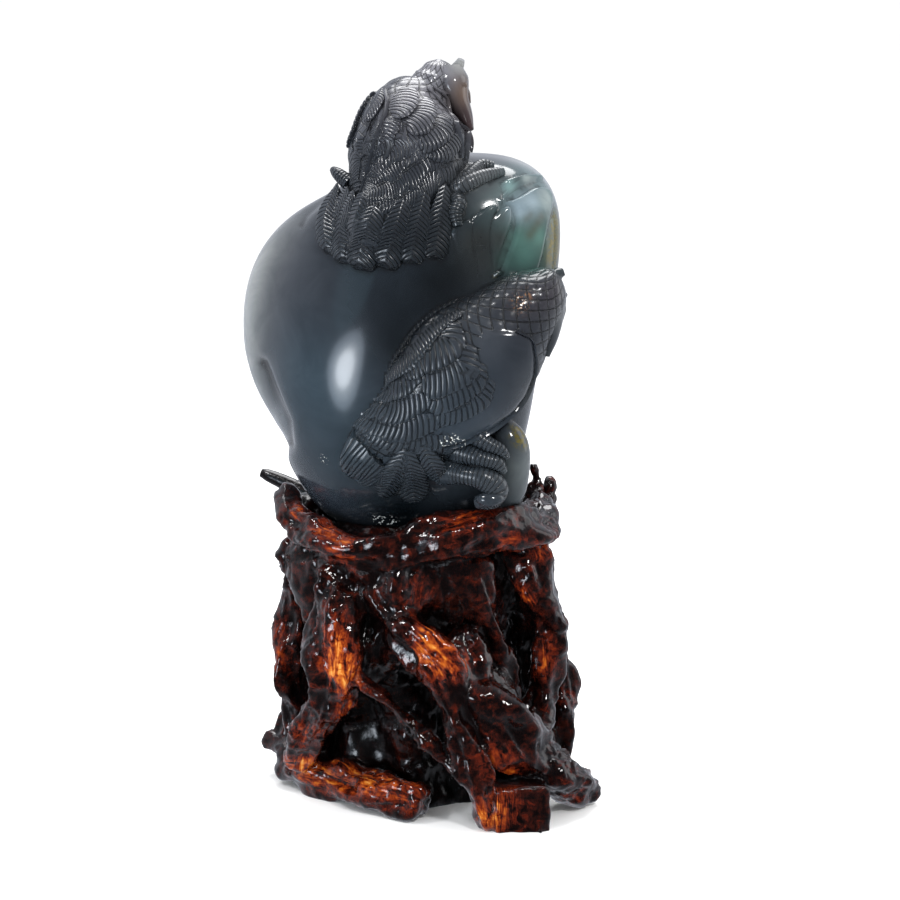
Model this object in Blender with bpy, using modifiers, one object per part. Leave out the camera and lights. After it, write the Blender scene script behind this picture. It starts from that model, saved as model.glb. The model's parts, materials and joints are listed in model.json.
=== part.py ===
# Agate carving of two owls on a boulder, resting in a stand of lacquered root wood.
# Metres, +Z up, the stand's underside at z = 0. The owls' sides face -Y and +X.

import math

import bmesh
import bpy
import numpy as np

# Stone: overall sizes
CARVING_WIDTH = 0.116
CARVING_DEPTH = 0.087
CARVING_HEIGHT = 0.176

# Stand: sizes at the floor, height of the rim, depth of the hollow for the stone
FOOT_WIDTH = 0.131
FOOT_DEPTH = 0.100
STAND_HEIGHT = 0.108
SEAT_DEPTH = 0.014
SEAT_GAP = 0.0007

# Feather relief: how far a feather's tip stands off the body, and how deep it is rooted
FEATHER_RISE = 0.0019
FEATHER_ROOT = 0.0020

# Fineness of the finished surfaces
STAND_VOXEL = 0.0013
STAND_TRIANGLES = 2300

# The stone is drawn in parts of its own size: 116 wide, 87 deep, 176 high,
# from the middle of its underside
STONE_PARTS = (116.0, 87.0, 176.0)
# The stand is drawn in the same way, 131 wide, 100 deep and 108 high at the rim
STAND_PARTS = (131.0, 100.0, 108.0)

STONE_SCALE = np.array([CARVING_WIDTH, CARVING_DEPTH, CARVING_HEIGHT]) / STONE_PARTS
STONE_BASE = STAND_HEIGHT - SEAT_DEPTH


def clear_scene():
    for thing in list(bpy.data.objects):
        bpy.data.objects.remove(thing, do_unlink=True)


def new_collection(name):
    group = bpy.data.collections.new(name)
    bpy.context.scene.collection.children.link(group)
    return group


def principled(name, color, roughness, metallic=0.0):
    material = bpy.data.materials.new(name)
    material.use_nodes = True
    shader = material.node_tree.nodes["Principled BSDF"]
    shader.inputs["Base Color"].default_value = (*color, 1.0)
    shader.inputs["Roughness"].default_value = roughness
    shader.inputs["Metallic"].default_value = metallic
    material.diffuse_color = (*color, 1.0)
    return material


def link_mesh(name, mesh, group):
    thing = bpy.data.objects.new(name, mesh)
    group.objects.link(thing)
    return thing


def smooth_path(points, steps):
    # Catmull-Rom curve through rows of numbers, so places and radii run together
    points = np.asarray(points, float)
    ends = np.vstack([2 * points[0] - points[1], points, 2 * points[-1] - points[-2]])
    place = np.linspace(0, len(points) - 1, steps)
    first = np.minimum(place.astype(int), len(points) - 2)
    t = (place - first)[:, None]
    a, b, c, d = (ends[first + k] for k in range(4))
    return b + 0.5 * t * (c - a + t * (2 * a - 5 * b + 4 * c - d + t * (3 * (b - c) + d - a)))


def unit(vectors):
    return vectors / np.linalg.norm(vectors, axis=-1, keepdims=True)


def stone_to_world(points):
    return np.asarray(points, float) * STONE_SCALE + (0.0, 0.0, STONE_BASE)


def stand_to_world(points):
    # The stand's width goes over from the foot's at the floor to the stone's at the rim
    points = np.asarray(points, float)
    share = np.clip(points[..., 2:3] / STAND_PARTS[2], 0.0, 1.0)
    foot = np.array([FOOT_WIDTH, FOOT_DEPTH]) / STAND_PARTS[:2]
    seat = STONE_SCALE[:2]
    across = points[..., :2] * (foot + (seat - foot) * share)
    height = points[..., 2:3] * STAND_HEIGHT / STAND_PARTS[2]
    return np.concatenate([across, height], axis=-1)


# Boulder: three rounded lobes (centre, radii, squareness) run together, then flattened by
# a few broad facets (a point on the facet, its outward direction)
BOULDER_CENTRE = (-6.0, 2.0, 72.0)
BOULDER_LOBES = (
    ((-6.0, 2.0, 68.0), (50.0, 37.0, 69.0), 2.1),
    ((-20.0, 13.0, 79.0), (45.5, 28.0, 47.0), 2.2),
    ((14.0, 4.0, 101.0), (36.5, 33.0, 40.5), 3.0),
)
BOULDER_FACETS = (
    ((34.0, -27.0, 112.0), (0.50, -0.84, 0.20)),
    ((49.0, 4.0, 104.0), (0.98, 0.05, -0.18)),
    ((-22.0, -32.0, 92.0), (-0.42, -0.86, 0.28)),
)
LOBE_BLEND = 16.0


def boulder_field(points):
    # Below 1 inside the boulder, 1 on its surface, above 1 outside
    total = 0.0
    for centre, radii, square in BOULDER_LOBES:
        share = np.abs((points - centre) / radii) + 1e-6
        reach = np.sum(share ** square, axis=-1) ** (1.0 / square)
        total = total + reach ** -LOBE_BLEND
    field = total ** (-1.0 / LOBE_BLEND)
    for place, outward in BOULDER_FACETS:
        outward = unit(np.array(outward))
        middle = np.array(BOULDER_CENTRE)
        reach = (points - middle) @ outward / ((np.array(place) - middle) @ outward)
        field = (field ** LOBE_BLEND + np.maximum(reach, 0.0) ** LOBE_BLEND) ** (1.0 / LOBE_BLEND)
    return field


def boulder_reach(origin, direction, far=140.0):
    # Distance from points inside the boulder to its surface, by halving the interval
    low = np.zeros(len(direction))
    high = np.full(len(direction), far)
    for _ in range(26):
        middle = 0.5 * (low + high)
        inside = boulder_field(origin + direction * middle[:, None]) < 1.0
        low = np.where(inside, middle, low)
        high = np.where(inside, high, middle)
    return low


def on_boulder(x, z, lift=0.0):
    # Point of the boulder's -Y face behind a place of the front view
    x = np.atleast_1d(np.asarray(x, float))
    z = np.atleast_1d(np.asarray(z, float))
    inside = np.stack([x, np.full_like(x, BOULDER_CENTRE[1]), z], axis=-1)
    toward = np.tile((0.0, -1.0, 0.0), (len(x), 1))
    depth = boulder_reach(inside, toward, 60.0)
    return inside + toward * (depth + lift)[:, None]


def boulder_mesh(rings=20, segments=29):
    # A sphere whose points are moved out along their rays to the boulder's surface
    shape = bmesh.new()
    bmesh.ops.create_uvsphere(shape, u_segments=segments, v_segments=rings, radius=1.0)
    rays = np.array([point.co for point in shape.verts])
    centre = np.array(BOULDER_CENTRE)
    surface = stone_to_world(centre + rays * boulder_reach(centre, rays)[:, None])
    for point, place in zip(shape.verts, surface):
        point.co = place
    mesh = bpy.data.meshes.new("boulder")
    shape.to_mesh(mesh)
    shape.free()
    return mesh


# Forms with a spine: rows of x, y, z, half width and half thickness, and the direction that
# the back faces. The owls' spines run from the tail's root to the crown.
UPPER_OWL = {
    "spine": (
        (-21.5, -31.0, 120.5, 1.0, 1.0),
        (-17.5, -27.0, 124.0, 7.0, 5.0),
        (-12.2, -20.0, 127.3, 14.0, 10.0),
        (-8.1, -13.0, 132.1, 18.6, 14.5),
        (-5.7, -7.5, 138.4, 21.2, 18.0),
        (-4.7, -3.5, 146.0, 21.4, 19.0),
        (-4.4, 0.0, 153.7, 19.8, 17.5),
        (-2.8, 3.0, 160.2, 16.2, 15.0),
        (1.0, 5.0, 164.8, 10.2, 11.8),
        (4.4, 6.0, 169.4, 7.4, 9.4),
        (5.4, 6.0, 173.6, 4.4, 5.2),
        (5.6, 6.0, 175.4, 0.5, 0.5),
    ),
    "back": (-0.45, -0.89, 0.0),
}
LOWER_OWL = {
    "spine": (
        (-27.0, -30.0, 38.5, 3.5, 3.5),
        (-19.5, -30.0, 41.7, 9.0, 10.5),
        (-11.0, -30.0, 45.0, 12.5, 15.8),
        (-1.5, -30.0, 51.4, 15.0, 19.6),
        (8.3, -30.0, 62.2, 17.0, 22.8),
        (16.7, -30.0, 72.1, 17.5, 23.5),
        (26.2, -30.0, 81.7, 16.0, 19.8),
        (33.5, -30.0, 89.8, 13.5, 14.8),
        (41.0, -29.0, 98.0, 11.0, 10.5),
        (44.5, -28.5, 103.0, 6.5, 5.0),
        (46.0, -28.0, 105.2, 0.5, 0.5),
    ),
    "back": (-0.70, -0.22, 0.68),
}

# Faces: the disc, which narrows to a point below, the ear tuft, the two eyes and the beak
UPPER_FACE = (
    {"spine": ((9.5, 5.0, 173.4, 4.0, 4.0), (10.0, 4.5, 168.0, 7.4, 6.0),
               (12.0, 3.5, 161.0, 6.8, 4.4), (14.8, 1.5, 155.5, 4.0, 2.8),
               (17.0, -1.0, 151.0, 0.9, 0.9)), "back": (1.0, 0.0, 0.2)},
    {"spine": ((8.0, 5.5, 172.5, 3.5, 3.0), (11.5, 5.0, 173.6, 2.6, 2.2),
               (14.6, 4.5, 174.6, 1.6, 1.4)), "back": (0.0, 0.0, 1.0)},
    {"spine": ((14.0, 0.6, 165.2, 0.5, 0.5), (15.0, 0.6, 167.0, 2.0, 2.2),
               (15.2, 0.6, 168.8, 0.5, 0.5)), "back": (1.0, 0.0, 0.0)},
    {"spine": ((14.0, 8.2, 165.2, 0.5, 0.5), (15.0, 8.2, 167.0, 2.0, 2.2),
               (15.2, 8.2, 168.8, 0.5, 0.5)), "back": (1.0, 0.0, 0.0)},
    {"spine": ((14.4, 4.2, 166.0, 1.2, 1.4), (16.0, 3.9, 163.4, 1.5, 1.8),
               (17.6, 3.4, 160.0, 0.4, 0.5)), "back": (1.0, 0.0, 0.0)},
)
LOWER_FACE = (
    {"spine": ((45.0, -28.0, 103.6, 4.0, 2.4), (46.0, -28.0, 96.5, 7.4, 4.0),
               (45.2, -28.8, 89.0, 6.6, 4.0), (44.4, -30.0, 81.5, 3.6, 2.8),
               (43.4, -31.5, 75.0, 0.8, 0.8)), "back": (1.0, 0.0, -0.2)},
    {"spine": ((44.0, -28.5, 101.0, 3.5, 3.5), (47.0, -28.0, 103.6, 2.6, 2.4),
               (49.2, -28.0, 104.4, 1.2, 1.2)), "back": (0.0, 0.0, 1.0)},
    {"spine": ((48.0, -31.8, 94.0, 0.5, 0.5), (48.4, -31.8, 95.8, 2.0, 2.2),
               (48.4, -31.8, 97.6, 0.5, 0.5)), "back": (1.0, 0.0, 0.0)},
    {"spine": ((48.0, -24.4, 94.0, 0.5, 0.5), (48.4, -24.4, 95.8, 2.0, 2.2),
               (48.4, -24.4, 97.6, 0.5, 0.5)), "back": (1.0, 0.0, 0.0)},
    {"spine": ((48.0, -28.4, 94.6, 1.2, 1.4), (49.0, -28.8, 91.6, 1.5, 1.8),
               (49.8, -29.4, 87.8, 0.4, 0.5)), "back": (1.0, 0.0, 0.0)},
)

# Feet: three toes of the upper owl and a knob of its far foot, three toes of the lower owl,
# and the knobbly stone beside them
STONE_FEET = (
    {"spine": ((9.0, -13.0, 132.0, 3.6, 3.6), (15.4, -17.6, 136.0, 2.8, 2.8),
               (20.2, -13.8, 139.8, 2.3, 2.3), (24.6, -12.8, 139.6, 1.7, 1.7)),
     "back": (0.0, -0.5, 0.86)},
    {"spine": ((8.0, -17.0, 129.5, 4.0, 4.0), (14.0, -22.2, 134.0, 3.0, 3.0),
               (20.6, -20.0, 136.7, 2.6, 2.6), (27.8, -15.4, 138.0, 1.8, 1.8)),
     "back": (0.0, -0.6, 0.8)},
    {"spine": ((9.5, -19.0, 129.5, 3.6, 3.6), (12.4, -25.2, 128.4, 2.8, 2.8),
               (11.4, -27.4, 125.0, 2.5, 2.5), (12.2, -28.6, 120.6, 1.8, 1.8)),
     "back": (0.0, -0.85, 0.5)},
    {"spine": ((-26.0, -10.0, 133.0, 3.0, 3.0), (-30.0, -7.0, 136.0, 2.3, 2.3),
               (-32.0, -3.5, 137.2, 1.3, 1.3)), "back": (0.0, 0.0, 1.0)},
    {"spine": ((15.0, -33.0, 50.0, 6.0, 6.0), (22.0, -37.0, 44.5, 3.6, 3.6),
               (28.0, -37.5, 41.5, 2.6, 2.6)), "back": (0.0, -1.0, 0.0)},
    {"spine": ((12.0, -33.0, 42.0, 6.0, 5.5), (19.0, -38.5, 39.0, 3.6, 3.4),
               (26.5, -39.0, 36.5, 3.0, 2.6)), "back": (0.0, -1.0, 0.0)},
    {"spine": ((9.0, -33.0, 35.5, 5.5, 4.5), (17.0, -38.5, 34.0, 3.8, 3.4),
               (24.0, -39.5, 31.0, 4.6, 4.0), (25.5, -37.5, 26.0, 4.2, 3.8),
               (21.5, -34.0, 23.5, 2.2, 2.2)), "back": (0.0, -1.0, 0.0)},
    {"spine": ((24.0, -24.0, 52.0, 4.0, 4.0), (30.5, -27.0, 44.0, 6.0, 6.5),
               (31.5, -25.0, 34.0, 6.2, 6.6), (30.0, -22.0, 23.0, 5.6, 5.6),
               (26.0, -18.0, 14.0, 4.0, 4.0)), "back": (0.0, -1.0, 0.0)},
)


def skin(form, along, around, lift=0.0):
    # along runs 0 to 1 up the spine, around is the angle from the back's middle line
    along, around = np.broadcast_arrays(np.asarray(along, float), np.asarray(around, float))
    flat = along.ravel()
    fine = smooth_path(form["spine"], 201)
    place = np.clip(flat, 0.0, 1.0) * 200
    row = np.stack([np.interp(place, np.arange(201), fine[:, k]) for k in range(5)], axis=-1)
    slope = np.stack([np.interp(place, np.arange(201), np.gradient(fine[:, k]))
                      for k in range(3)], axis=-1)
    axis = unit(slope)
    back = np.array(form["back"], float)
    side = unit(np.cross(axis, back))
    back = np.cross(side, axis)
    angle = around.ravel()[:, None]
    out = side * np.sin(angle) / row[:, 3:4] + back * np.cos(angle) / row[:, 4:5]
    ring = side * row[:, 3:4] * np.sin(angle) + back * row[:, 4:5] * np.cos(angle)
    normal = unit(out)
    spot = row[:, :3] + ring + normal * lift
    return spot.reshape(*along.shape, 3), normal.reshape(*along.shape, 3)


def grid_faces(rows, columns):
    # Quads of a tube of rows x columns points, with a cap at each end
    faces = []
    for i in range(rows - 1):
        for j in range(columns):
            k = (j + 1) % columns
            faces.append((i * columns + j, i * columns + k,
                          (i + 1) * columns + k, (i + 1) * columns + j))
    faces.append(tuple(reversed(range(columns))))
    faces.append(tuple(range((rows - 1) * columns, rows * columns)))
    return faces


def loft(name, rings):
    # Closed body through a row of rings with the same number of points
    rows, columns = rings.shape[:2]
    mesh = bpy.data.meshes.new(name)
    mesh.from_pydata(rings.reshape(-1, 3).tolist(), [], grid_faces(rows, columns))
    shape = bmesh.new()
    shape.from_mesh(mesh)
    bmesh.ops.recalc_face_normals(shape, faces=shape.faces)
    shape.to_mesh(mesh)
    shape.free()
    return mesh


def limb(form, rows=40, columns=32):
    along = np.linspace(0.0, 1.0, rows)[:, None]
    around = np.linspace(0.0, 2 * math.pi, columns, endpoint=False)[None, :]
    spots, _ = skin(form, along, around)
    return loft("limb", stone_to_world(spots))


def vane(t):
    # Outline of a feather: narrow at its root, widest past the middle, round at its tip
    root = 0.62 + 0.38 * np.sin(0.5 * math.pi * np.clip(t / 0.6, 0.0, 1.0))
    tip = np.sqrt(np.clip(1.0 - np.clip((t - 0.72) / 0.28, 0.0, 1.0) ** 2, 0.03, 1.0))
    return root * tip


def strip(path, normals, widths, rises, root):
    # Lens-shaped band along a path: flat below, crowned above
    tangent = unit(np.gradient(path, axis=0))
    side = unit(np.cross(tangent, normals))
    across = np.array([-1.0, 0.0, 1.0, 0.5, -0.5])
    height = np.array([0.30, 1.0, 0.30, -1.0, -1.0])
    up = np.where(height > 0, height, 0.0)[None, :, None] * rises[:, None, None]
    down = np.where(height < 0, height, 0.0)[None, :, None] * root
    return (path[:, None, :] + side[:, None, :] * across[None, :, None] * widths[:, None, None]
            + normals[:, None, :] * (up + down))


def feather(owl, start, end, width, bow=0.0, steps=6):
    # Feather on an owl's skin between two (along, around) places; bow bends its path
    t = np.linspace(0.0, 1.0, steps)
    along = start[0] + (end[0] - start[0]) * t
    around = start[1] + (end[1] - start[1]) * t + bow * np.sin(math.pi * t)
    path, normals = skin(owl, along, around)
    rise = FEATHER_RISE / STONE_SCALE[2] * (0.25 + 0.75 * t)
    rings = strip(path, normals, width * vane(t), rise, FEATHER_ROOT / STONE_SCALE[2])
    return loft("feather", stone_to_world(rings))


def stone_band(points, widths, rise, outline, steps=6):
    # Raised band pressed onto the boulder's -Y face, drawn in the front view
    flat = smooth_path(points, steps)
    path = on_boulder(flat[:, 0], flat[:, 1])
    toward = unit(path - np.array(BOULDER_CENTRE))
    t = np.linspace(0.0, 1.0, steps)
    wide = np.interp(t, np.linspace(0, 1, len(widths)), widths) * outline(t)
    lift = rise * np.sqrt(outline(t))
    rings = strip(path, toward, wide, lift, 3.0)
    return loft("band", stone_to_world(rings))


def ridge_outline(t):
    return np.sqrt(np.clip(1.0 - (2.0 * t - 1.0) ** 2, 0.04, 1.0))


def root_curve(rows):
    # Tapered round root along rows of x, y, z and radius, as a bevelled curve
    steps = 4 * len(rows) - 3
    fine = smooth_path(rows, steps)
    places = stand_to_world(fine[:, :3])
    curve = bpy.data.curves.new("root", "CURVE")
    curve.dimensions = "3D"
    curve.bevel_depth = 1.0
    curve.bevel_resolution = 2
    curve.use_fill_caps = True
    spline = curve.splines.new("POLY")
    spline.points.add(steps - 1)
    part_size = STAND_HEIGHT / STAND_PARTS[2]
    for point, place, radius in zip(spline.points, places, fine[:, 3]):
        point.co = (*place, 1.0)
        point.radius = max(radius, 0.4) * part_size
    return curve


def curve_to_mesh(curve, group):
    guide = bpy.data.objects.new(curve.name, curve)
    group.objects.link(guide)
    bpy.context.view_layer.update()
    evaluated = guide.evaluated_get(bpy.context.evaluated_depsgraph_get())
    mesh = bpy.data.meshes.new_from_object(evaluated)
    bpy.data.objects.remove(guide, do_unlink=True)
    bpy.data.curves.remove(curve)
    shape = bmesh.new()
    shape.from_mesh(mesh)
    bmesh.ops.remove_doubles(shape, verts=shape.verts, dist=0.00002)
    bmesh.ops.recalc_face_normals(shape, faces=shape.faces)
    shape.to_mesh(mesh)
    shape.free()
    return mesh


# Feathers on the upper owl: start, end, half width and bow, in (along, around) places,
# from the lowest layer to the topmost
UPPER_FEATHERS = (
    ((0.42, 1.95), (0.10, 0.70), 4.0, -0.35),
    ((0.46, 1.60), (0.05, -0.10), 4.8, -0.45),
    ((0.48, 1.20), (0.10, -0.40), 4.8, -0.35),
    ((0.46, 0.70), (0.16, -0.45), 4.4, -0.20),
    ((0.50, 0.30), (0.26, -0.25), 3.8, -0.05),
    ((0.42, -1.45), (0.10, -1.20), 4.4, 0.0),
    ((0.50, -0.95), (0.20, -0.80), 4.2, 0.0),
    ((0.62, 1.00), (0.36, 1.12), 5.4, 0.0),
    ((0.62, 0.55), (0.42, 0.72), 5.0, 0.0),
    ((0.62, 0.15), (0.48, 0.34), 4.6, 0.0),
    ((0.60, -0.95), (0.42, -0.95), 4.6, 0.0),
    ((0.62, -0.40), (0.50, -0.46), 4.2, 0.0),
)
# Feather tiers on the lower owl's wing, from its lower rows to the shoulder
LOWER_FEATHERS = (
    ((0.36, 2.10), (0.16, 2.00), 4.6, 0.0),
    ((0.38, 1.65), (0.13, 1.60), 4.8, 0.0),
    ((0.38, 1.20), (0.10, 1.20), 4.8, 0.0),
    ((0.38, 0.75), (0.09, 0.75), 4.6, 0.0),
    ((0.38, 0.30), (0.10, 0.30), 4.2, 0.0),
    ((0.50, 2.20), (0.27, 1.95), 4.4, 0.10),
    ((0.54, 1.90), (0.28, 1.55), 4.6, 0.10),
    ((0.56, 1.50), (0.29, 1.14), 4.8, 0.12),
    ((0.58, 1.10), (0.30, 0.74), 4.6, 0.12),
    ((0.60, 0.50), (0.28, 0.36), 4.8, 0.08),
    ((0.66, 1.85), (0.42, 2.10), 7.0, 0.0),
)
# Tail feathers, drawn in the front view as x, z rows with half widths, and how far they lift
UPPER_TAIL = (
    (((-24.0, 134.0), (-31.0, 122.0), (-34.0, 109.0)), (3.0, 4.8, 4.4), 3.4),
    (((-22.0, 132.0), (-27.5, 120.0), (-29.0, 107.0)), (3.4, 5.0, 4.8), 4.4),
    (((-18.0, 129.0), (-21.5, 118.0), (-22.0, 105.5)), (3.8, 5.4, 5.4), 5.4),
    (((-12.0, 128.0), (-14.0, 117.0), (-14.5, 105.5)), (3.6, 5.2, 5.0), 5.6),
    (((-6.0, 129.0), (-7.0, 117.0), (-7.0, 106.0)), (3.4, 5.0, 4.8), 5.4),
    (((0.5, 130.0), (0.0, 118.0), (0.0, 107.0)), (3.2, 4.6, 4.6), 4.8),
    (((5.5, 131.0), (5.0, 120.0), (4.5, 108.5)), (2.8, 4.0, 4.0), 4.2),
)
LOWER_TAIL = (
    (((-8.0, 46.0), (-19.0, 40.5), (-33.0, 40.0)), (6.0, 8.0, 4.5), 4.4),
    (((-6.0, 44.0), (-16.0, 36.0), (-27.0, 32.0)), (5.0, 7.0, 5.5), 5.6),
    (((-2.0, 42.0), (-8.0, 34.0), (-10.5, 25.0)), (4.5, 7.5, 7.0), 5.0),
    (((6.0, 42.0), (3.5, 34.0), (2.0, 26.0)), (4.0, 6.0, 5.0), 4.6),
)
# Rounded ridges of the stone at the right of the upper tail, and the stem across the top
STONE_RIDGES = (
    (((13.0, 124.0), (15.0, 112.0), (17.0, 98.0)), (2.0, 3.2, 3.0), 2.2),
    (((22.0, 127.0), (20.5, 115.0), (20.0, 100.0)), (2.0, 3.2, 3.0), 2.4),
    (((26.0, 128.5), (29.5, 123.0), (27.0, 110.0), (23.0, 98.0)), (2.0, 3.0, 2.6), 2.6),
    (((13.0, 126.0), (26.0, 132.0), (42.0, 136.0)), (1.6, 1.5, 1.2), 1.4),
)


def solid_from_meshes(name, meshes, group):
    # Loose overlapping bodies in one mesh, ready to be run together by a remesh
    whole = bmesh.new()
    for mesh in meshes:
        whole.from_mesh(mesh)
        bpy.data.meshes.remove(mesh)
    joined = bpy.data.meshes.new(name)
    whole.to_mesh(joined)
    whole.free()
    return link_mesh(name, joined, group)


def bake(thing):
    # Replaces the object's mesh by what its modifiers make of it
    bpy.context.view_layer.update()
    evaluated = thing.evaluated_get(bpy.context.evaluated_depsgraph_get())
    mesh = bpy.data.meshes.new_from_object(evaluated)
    thing.modifiers.clear()
    old = thing.data
    thing.data = mesh
    bpy.data.meshes.remove(old)


def run_together(thing, voxel):
    remesh = thing.modifiers.new("one_body", "REMESH")
    remesh.mode = "VOXEL"
    remesh.voxel_size = voxel
    bake(thing)


def thin_out(thing, triangles):
    count = sum(len(face.vertices) - 2 for face in thing.data.polygons)
    fewer = thing.modifiers.new("fewer_faces", "DECIMATE")
    fewer.ratio = min(1.0, triangles / count)
    fewer.use_collapse_triangulate = True
    bake(thing)


def keep_largest_body(thing):
    # Drops crumbs and closed inner pockets that the remesh or a cut leaves behind
    shape = bmesh.new()
    shape.from_mesh(thing.data)
    left = set(shape.verts)
    bodies = []
    while left:
        front = [left.pop()]
        body = set(front)
        while front:
            point = front.pop()
            for edge in point.link_edges:
                other = edge.other_vert(point)
                if other in left:
                    left.discard(other)
                    body.add(other)
                    front.append(other)
        bodies.append(body)
    bodies.sort(key=len, reverse=True)
    for body in bodies[1:]:
        bmesh.ops.delete(shape, geom=list(body), context="VERTS")
    bmesh.ops.triangulate(shape, faces=shape.faces)
    shape.to_mesh(thing.data)
    shape.free()


def cut(thing, cutter):
    boolean = thing.modifiers.new("cut", "BOOLEAN")
    boolean.operation = "DIFFERENCE"
    boolean.solver = "EXACT"
    boolean.object = cutter
    bake(thing)


def shade(thing, material, degrees=35.0):
    thing.data.materials.clear()
    thing.data.materials.append(material)
    thing.data.shade_smooth()
    thing.data.set_sharp_from_angle(angle=math.radians(degrees))


def build_carving(group, shapes):
    forms = [boulder_mesh()]
    forms += [limb(UPPER_OWL, 16, 16), limb(LOWER_OWL, 16, 16)]
    for form in UPPER_FACE + LOWER_FACE + STONE_FEET:
        forms.append(limb(form, len(form["spine"]) + 1, 6))
    forms += [feather(UPPER_OWL, *row[:3], bow=row[3]) for row in UPPER_FEATHERS]
    forms += [feather(LOWER_OWL, *row[:3], bow=row[3]) for row in LOWER_FEATHERS]
    forms += [stone_band(*row, vane) for row in UPPER_TAIL + LOWER_TAIL]
    forms += [stone_band(*row, ridge_outline) for row in STONE_RIDGES]
    carving = link_mesh("agate_carving", forms[0], group)
    for mesh in forms[1:]:
        link_mesh("form", mesh, shapes)
    whole = carving.modifiers.new("one_stone", "BOOLEAN")
    whole.operation = "UNION"
    whole.operand_type = "COLLECTION"
    whole.solver = "EXACT"
    whole.collection = shapes
    bake(carving)
    for thing in list(shapes.objects):
        bpy.data.objects.remove(thing, do_unlink=True)
    keep_largest_body(carving)
    return carving


# Trunk of the stand, and its roots as rows of x, y, z and radius
TRUNK = {
    "spine": (
        (-2.0, 6.0, -6.0, 34.0, 26.0),
        (-2.0, 6.0, 14.0, 30.0, 23.0),
        (-4.0, 5.0, 40.0, 28.0, 22.0),
        (-6.0, 3.0, 62.0, 33.0, 26.0),
        (-6.0, 0.0, 80.0, 40.0, 32.0),
        (-5.0, -1.0, 92.0, 42.0, 34.0),
        (-4.0, -1.0, 102.0, 38.0, 31.0),
        (-4.0, -1.0, 106.0, 30.0, 24.0),
    ),
    "back": (0.0, -1.0, 0.0),
}
TRUNK_FLUTES = 7
FLUTE_DEPTH = 2.2
ROOTS = (
    ((-38, 8, 94, 7.0), (-42, 12, 72, 6.4), (-40, 14, 46, 7.0), (-40, 12, 20, 6.6),
     (-43, 10, 0, 6.0)),
    ((33, 0, 94, 8.0), (37, 2, 70, 7.0), (40, 5, 46, 7.0), (39, 6, 22, 7.4), (38, 6, 0, 7.0)),
    ((-6, -24, 96, 9.0), (-8, -30, 84, 9.5), (-11, -29, 70, 8.5), (-18, -22, 50, 6.0)),
    ((14, -24, 94, 9.0), (20, -26, 80, 8.0), (24, -22, 60, 7.0), (26, -24, 36, 8.0)),
    ((-43, 4, 92, 5.0), (-45, 4, 81, 5.6), (-48, 4, 67, 5.8), (-50, 4, 54, 5.4),
     (-48, 5, 37, 6.2), (-46, 4, 25, 4.8), (-45, 1, 10, 5.0)),
    ((-27, -24, 94, 8.0), (-30, -28, 77, 9.4), (-31, -30, 62, 10.5), (-33, -28, 47, 8.7),
     (-40, -20, 30, 6.5), (-48, -6, 15, 5.6)),
    ((-14, -30, 86, 8.0), (-12, -34, 79, 6.5), (-3, -40, 70, 7.5), (6, -43, 59, 7.0),
     (11, -44, 46, 5.6), (16, -45, 29, 5.2), (22, -44, 12, 5.0), (25, -43, 0, 4.5)),
    ((-27, -34, 57, 3.2), (-14, -38, 47, 2.8), (1, -42, 33, 2.8), (13, -44, 20, 3.0)),
    ((36, -14, 98, 8.0), (38, -16, 86, 7.0), (44, -14, 71, 6.8), (45, -12, 54, 6.0),
     (42, -14, 37, 6.0), (37, -22, 26, 7.0)),
    ((10, -28, 66, 8.0), (17, -36, 51, 9.0), (27, -37, 40, 11.0), (35, -33, 27, 9.6),
     (46, -26, 16, 7.4), (57, -18, 7, 6.2), (63.2, -14, 5, 4.8)),
    ((38, 2, 88, 7.0), (43, 7, 72, 5.4), (45, 9, 62, 4.8), (48, 12, 47, 5.0),
     (50, 14, 33, 6.2), (49, 12, 18, 5.4), (44, 8, 2, 6.0)),
    ((-52, 14, 7, 5.5), (-43, 2, 8, 6.5), (-27, -14, 7, 6.9), (-10, -28, 7, 6.5),
     (0, -36, 7, 5.8)),
    ((-59, 24, 11, 3.2), (-53, 18, 11, 3.2), (-44, 10, 13, 4.4)),
    ((-30, 20, 94, 9.0), (-37, 30, 70, 7.4), (-35, 37, 42, 7.0), (-38, 40, 16, 6.4),
     (-40, 41, 0, 6.0)),
    ((4, 26, 94, 11.0), (7, 36, 68, 9.0), (2, 40, 38, 8.0), (6, 42, 6, 7.4)),
    ((30, 22, 90, 9.0), (34, 30, 64, 7.2), (28, 37, 38, 7.0), (35, 39, 12, 6.4),
     (37, 40, 0, 6.0)),
    ((-24, 34, 60, 4.4), (-6, 41, 45, 4.4), (14, 41, 26, 4.6), (30, 40, 8, 5.4)),
    ((-16, 36, 5, 6.0), (0, 43, 6, 6.8), (18, 43, 6, 6.2), (32, 40, 5, 5.4)),
    ((-42, 24, 40, 4.6), (-48, 22, 26, 5.0), (-50, 24, 10, 5.4), (-52, 28, 0, 5.0)),
)
# Rim round the seat, the bare twig behind it and two splinters, in the same rows
RIM = (
    ((-52, 3, 111, 3.6), (-46, -10, 106, 5.0), (-37, -22, 102, 5.8), (-25, -30, 100, 6.4),
     (-12, -33, 100, 6.8), (2, -34, 103, 7.2), (16, -33, 106, 7.4), (29, -27, 106, 7.6),
     (38, -15, 104, 7.6), (42, 3, 104, 6.6), (35, 20, 105, 6.6), (16, 30, 106, 6.8),
     (-8, 32, 107, 6.4), (-28, 25, 106, 6.0), (-40, 12, 106, 5.0), (-44, 2, 102, 4.6)),
    ((-61, 32, 113, 2.0), (-53, 30, 111, 3.2), (-44, 26, 107, 4.8), (-30, 22, 103, 6.0)),
    ((39, 15, 120, 1.3), (40, 15, 113, 2.4), (40, 11, 104, 4.6)),
    ((46, 20, 114, 1.2), (45.5, 17, 106, 2.4), (42, 11, 95, 5.6)),
    ((-44, -2, 94, 4.4), (-48, -2, 90, 4.2), (-52, -3, 88, 3.8)),
)
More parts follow.
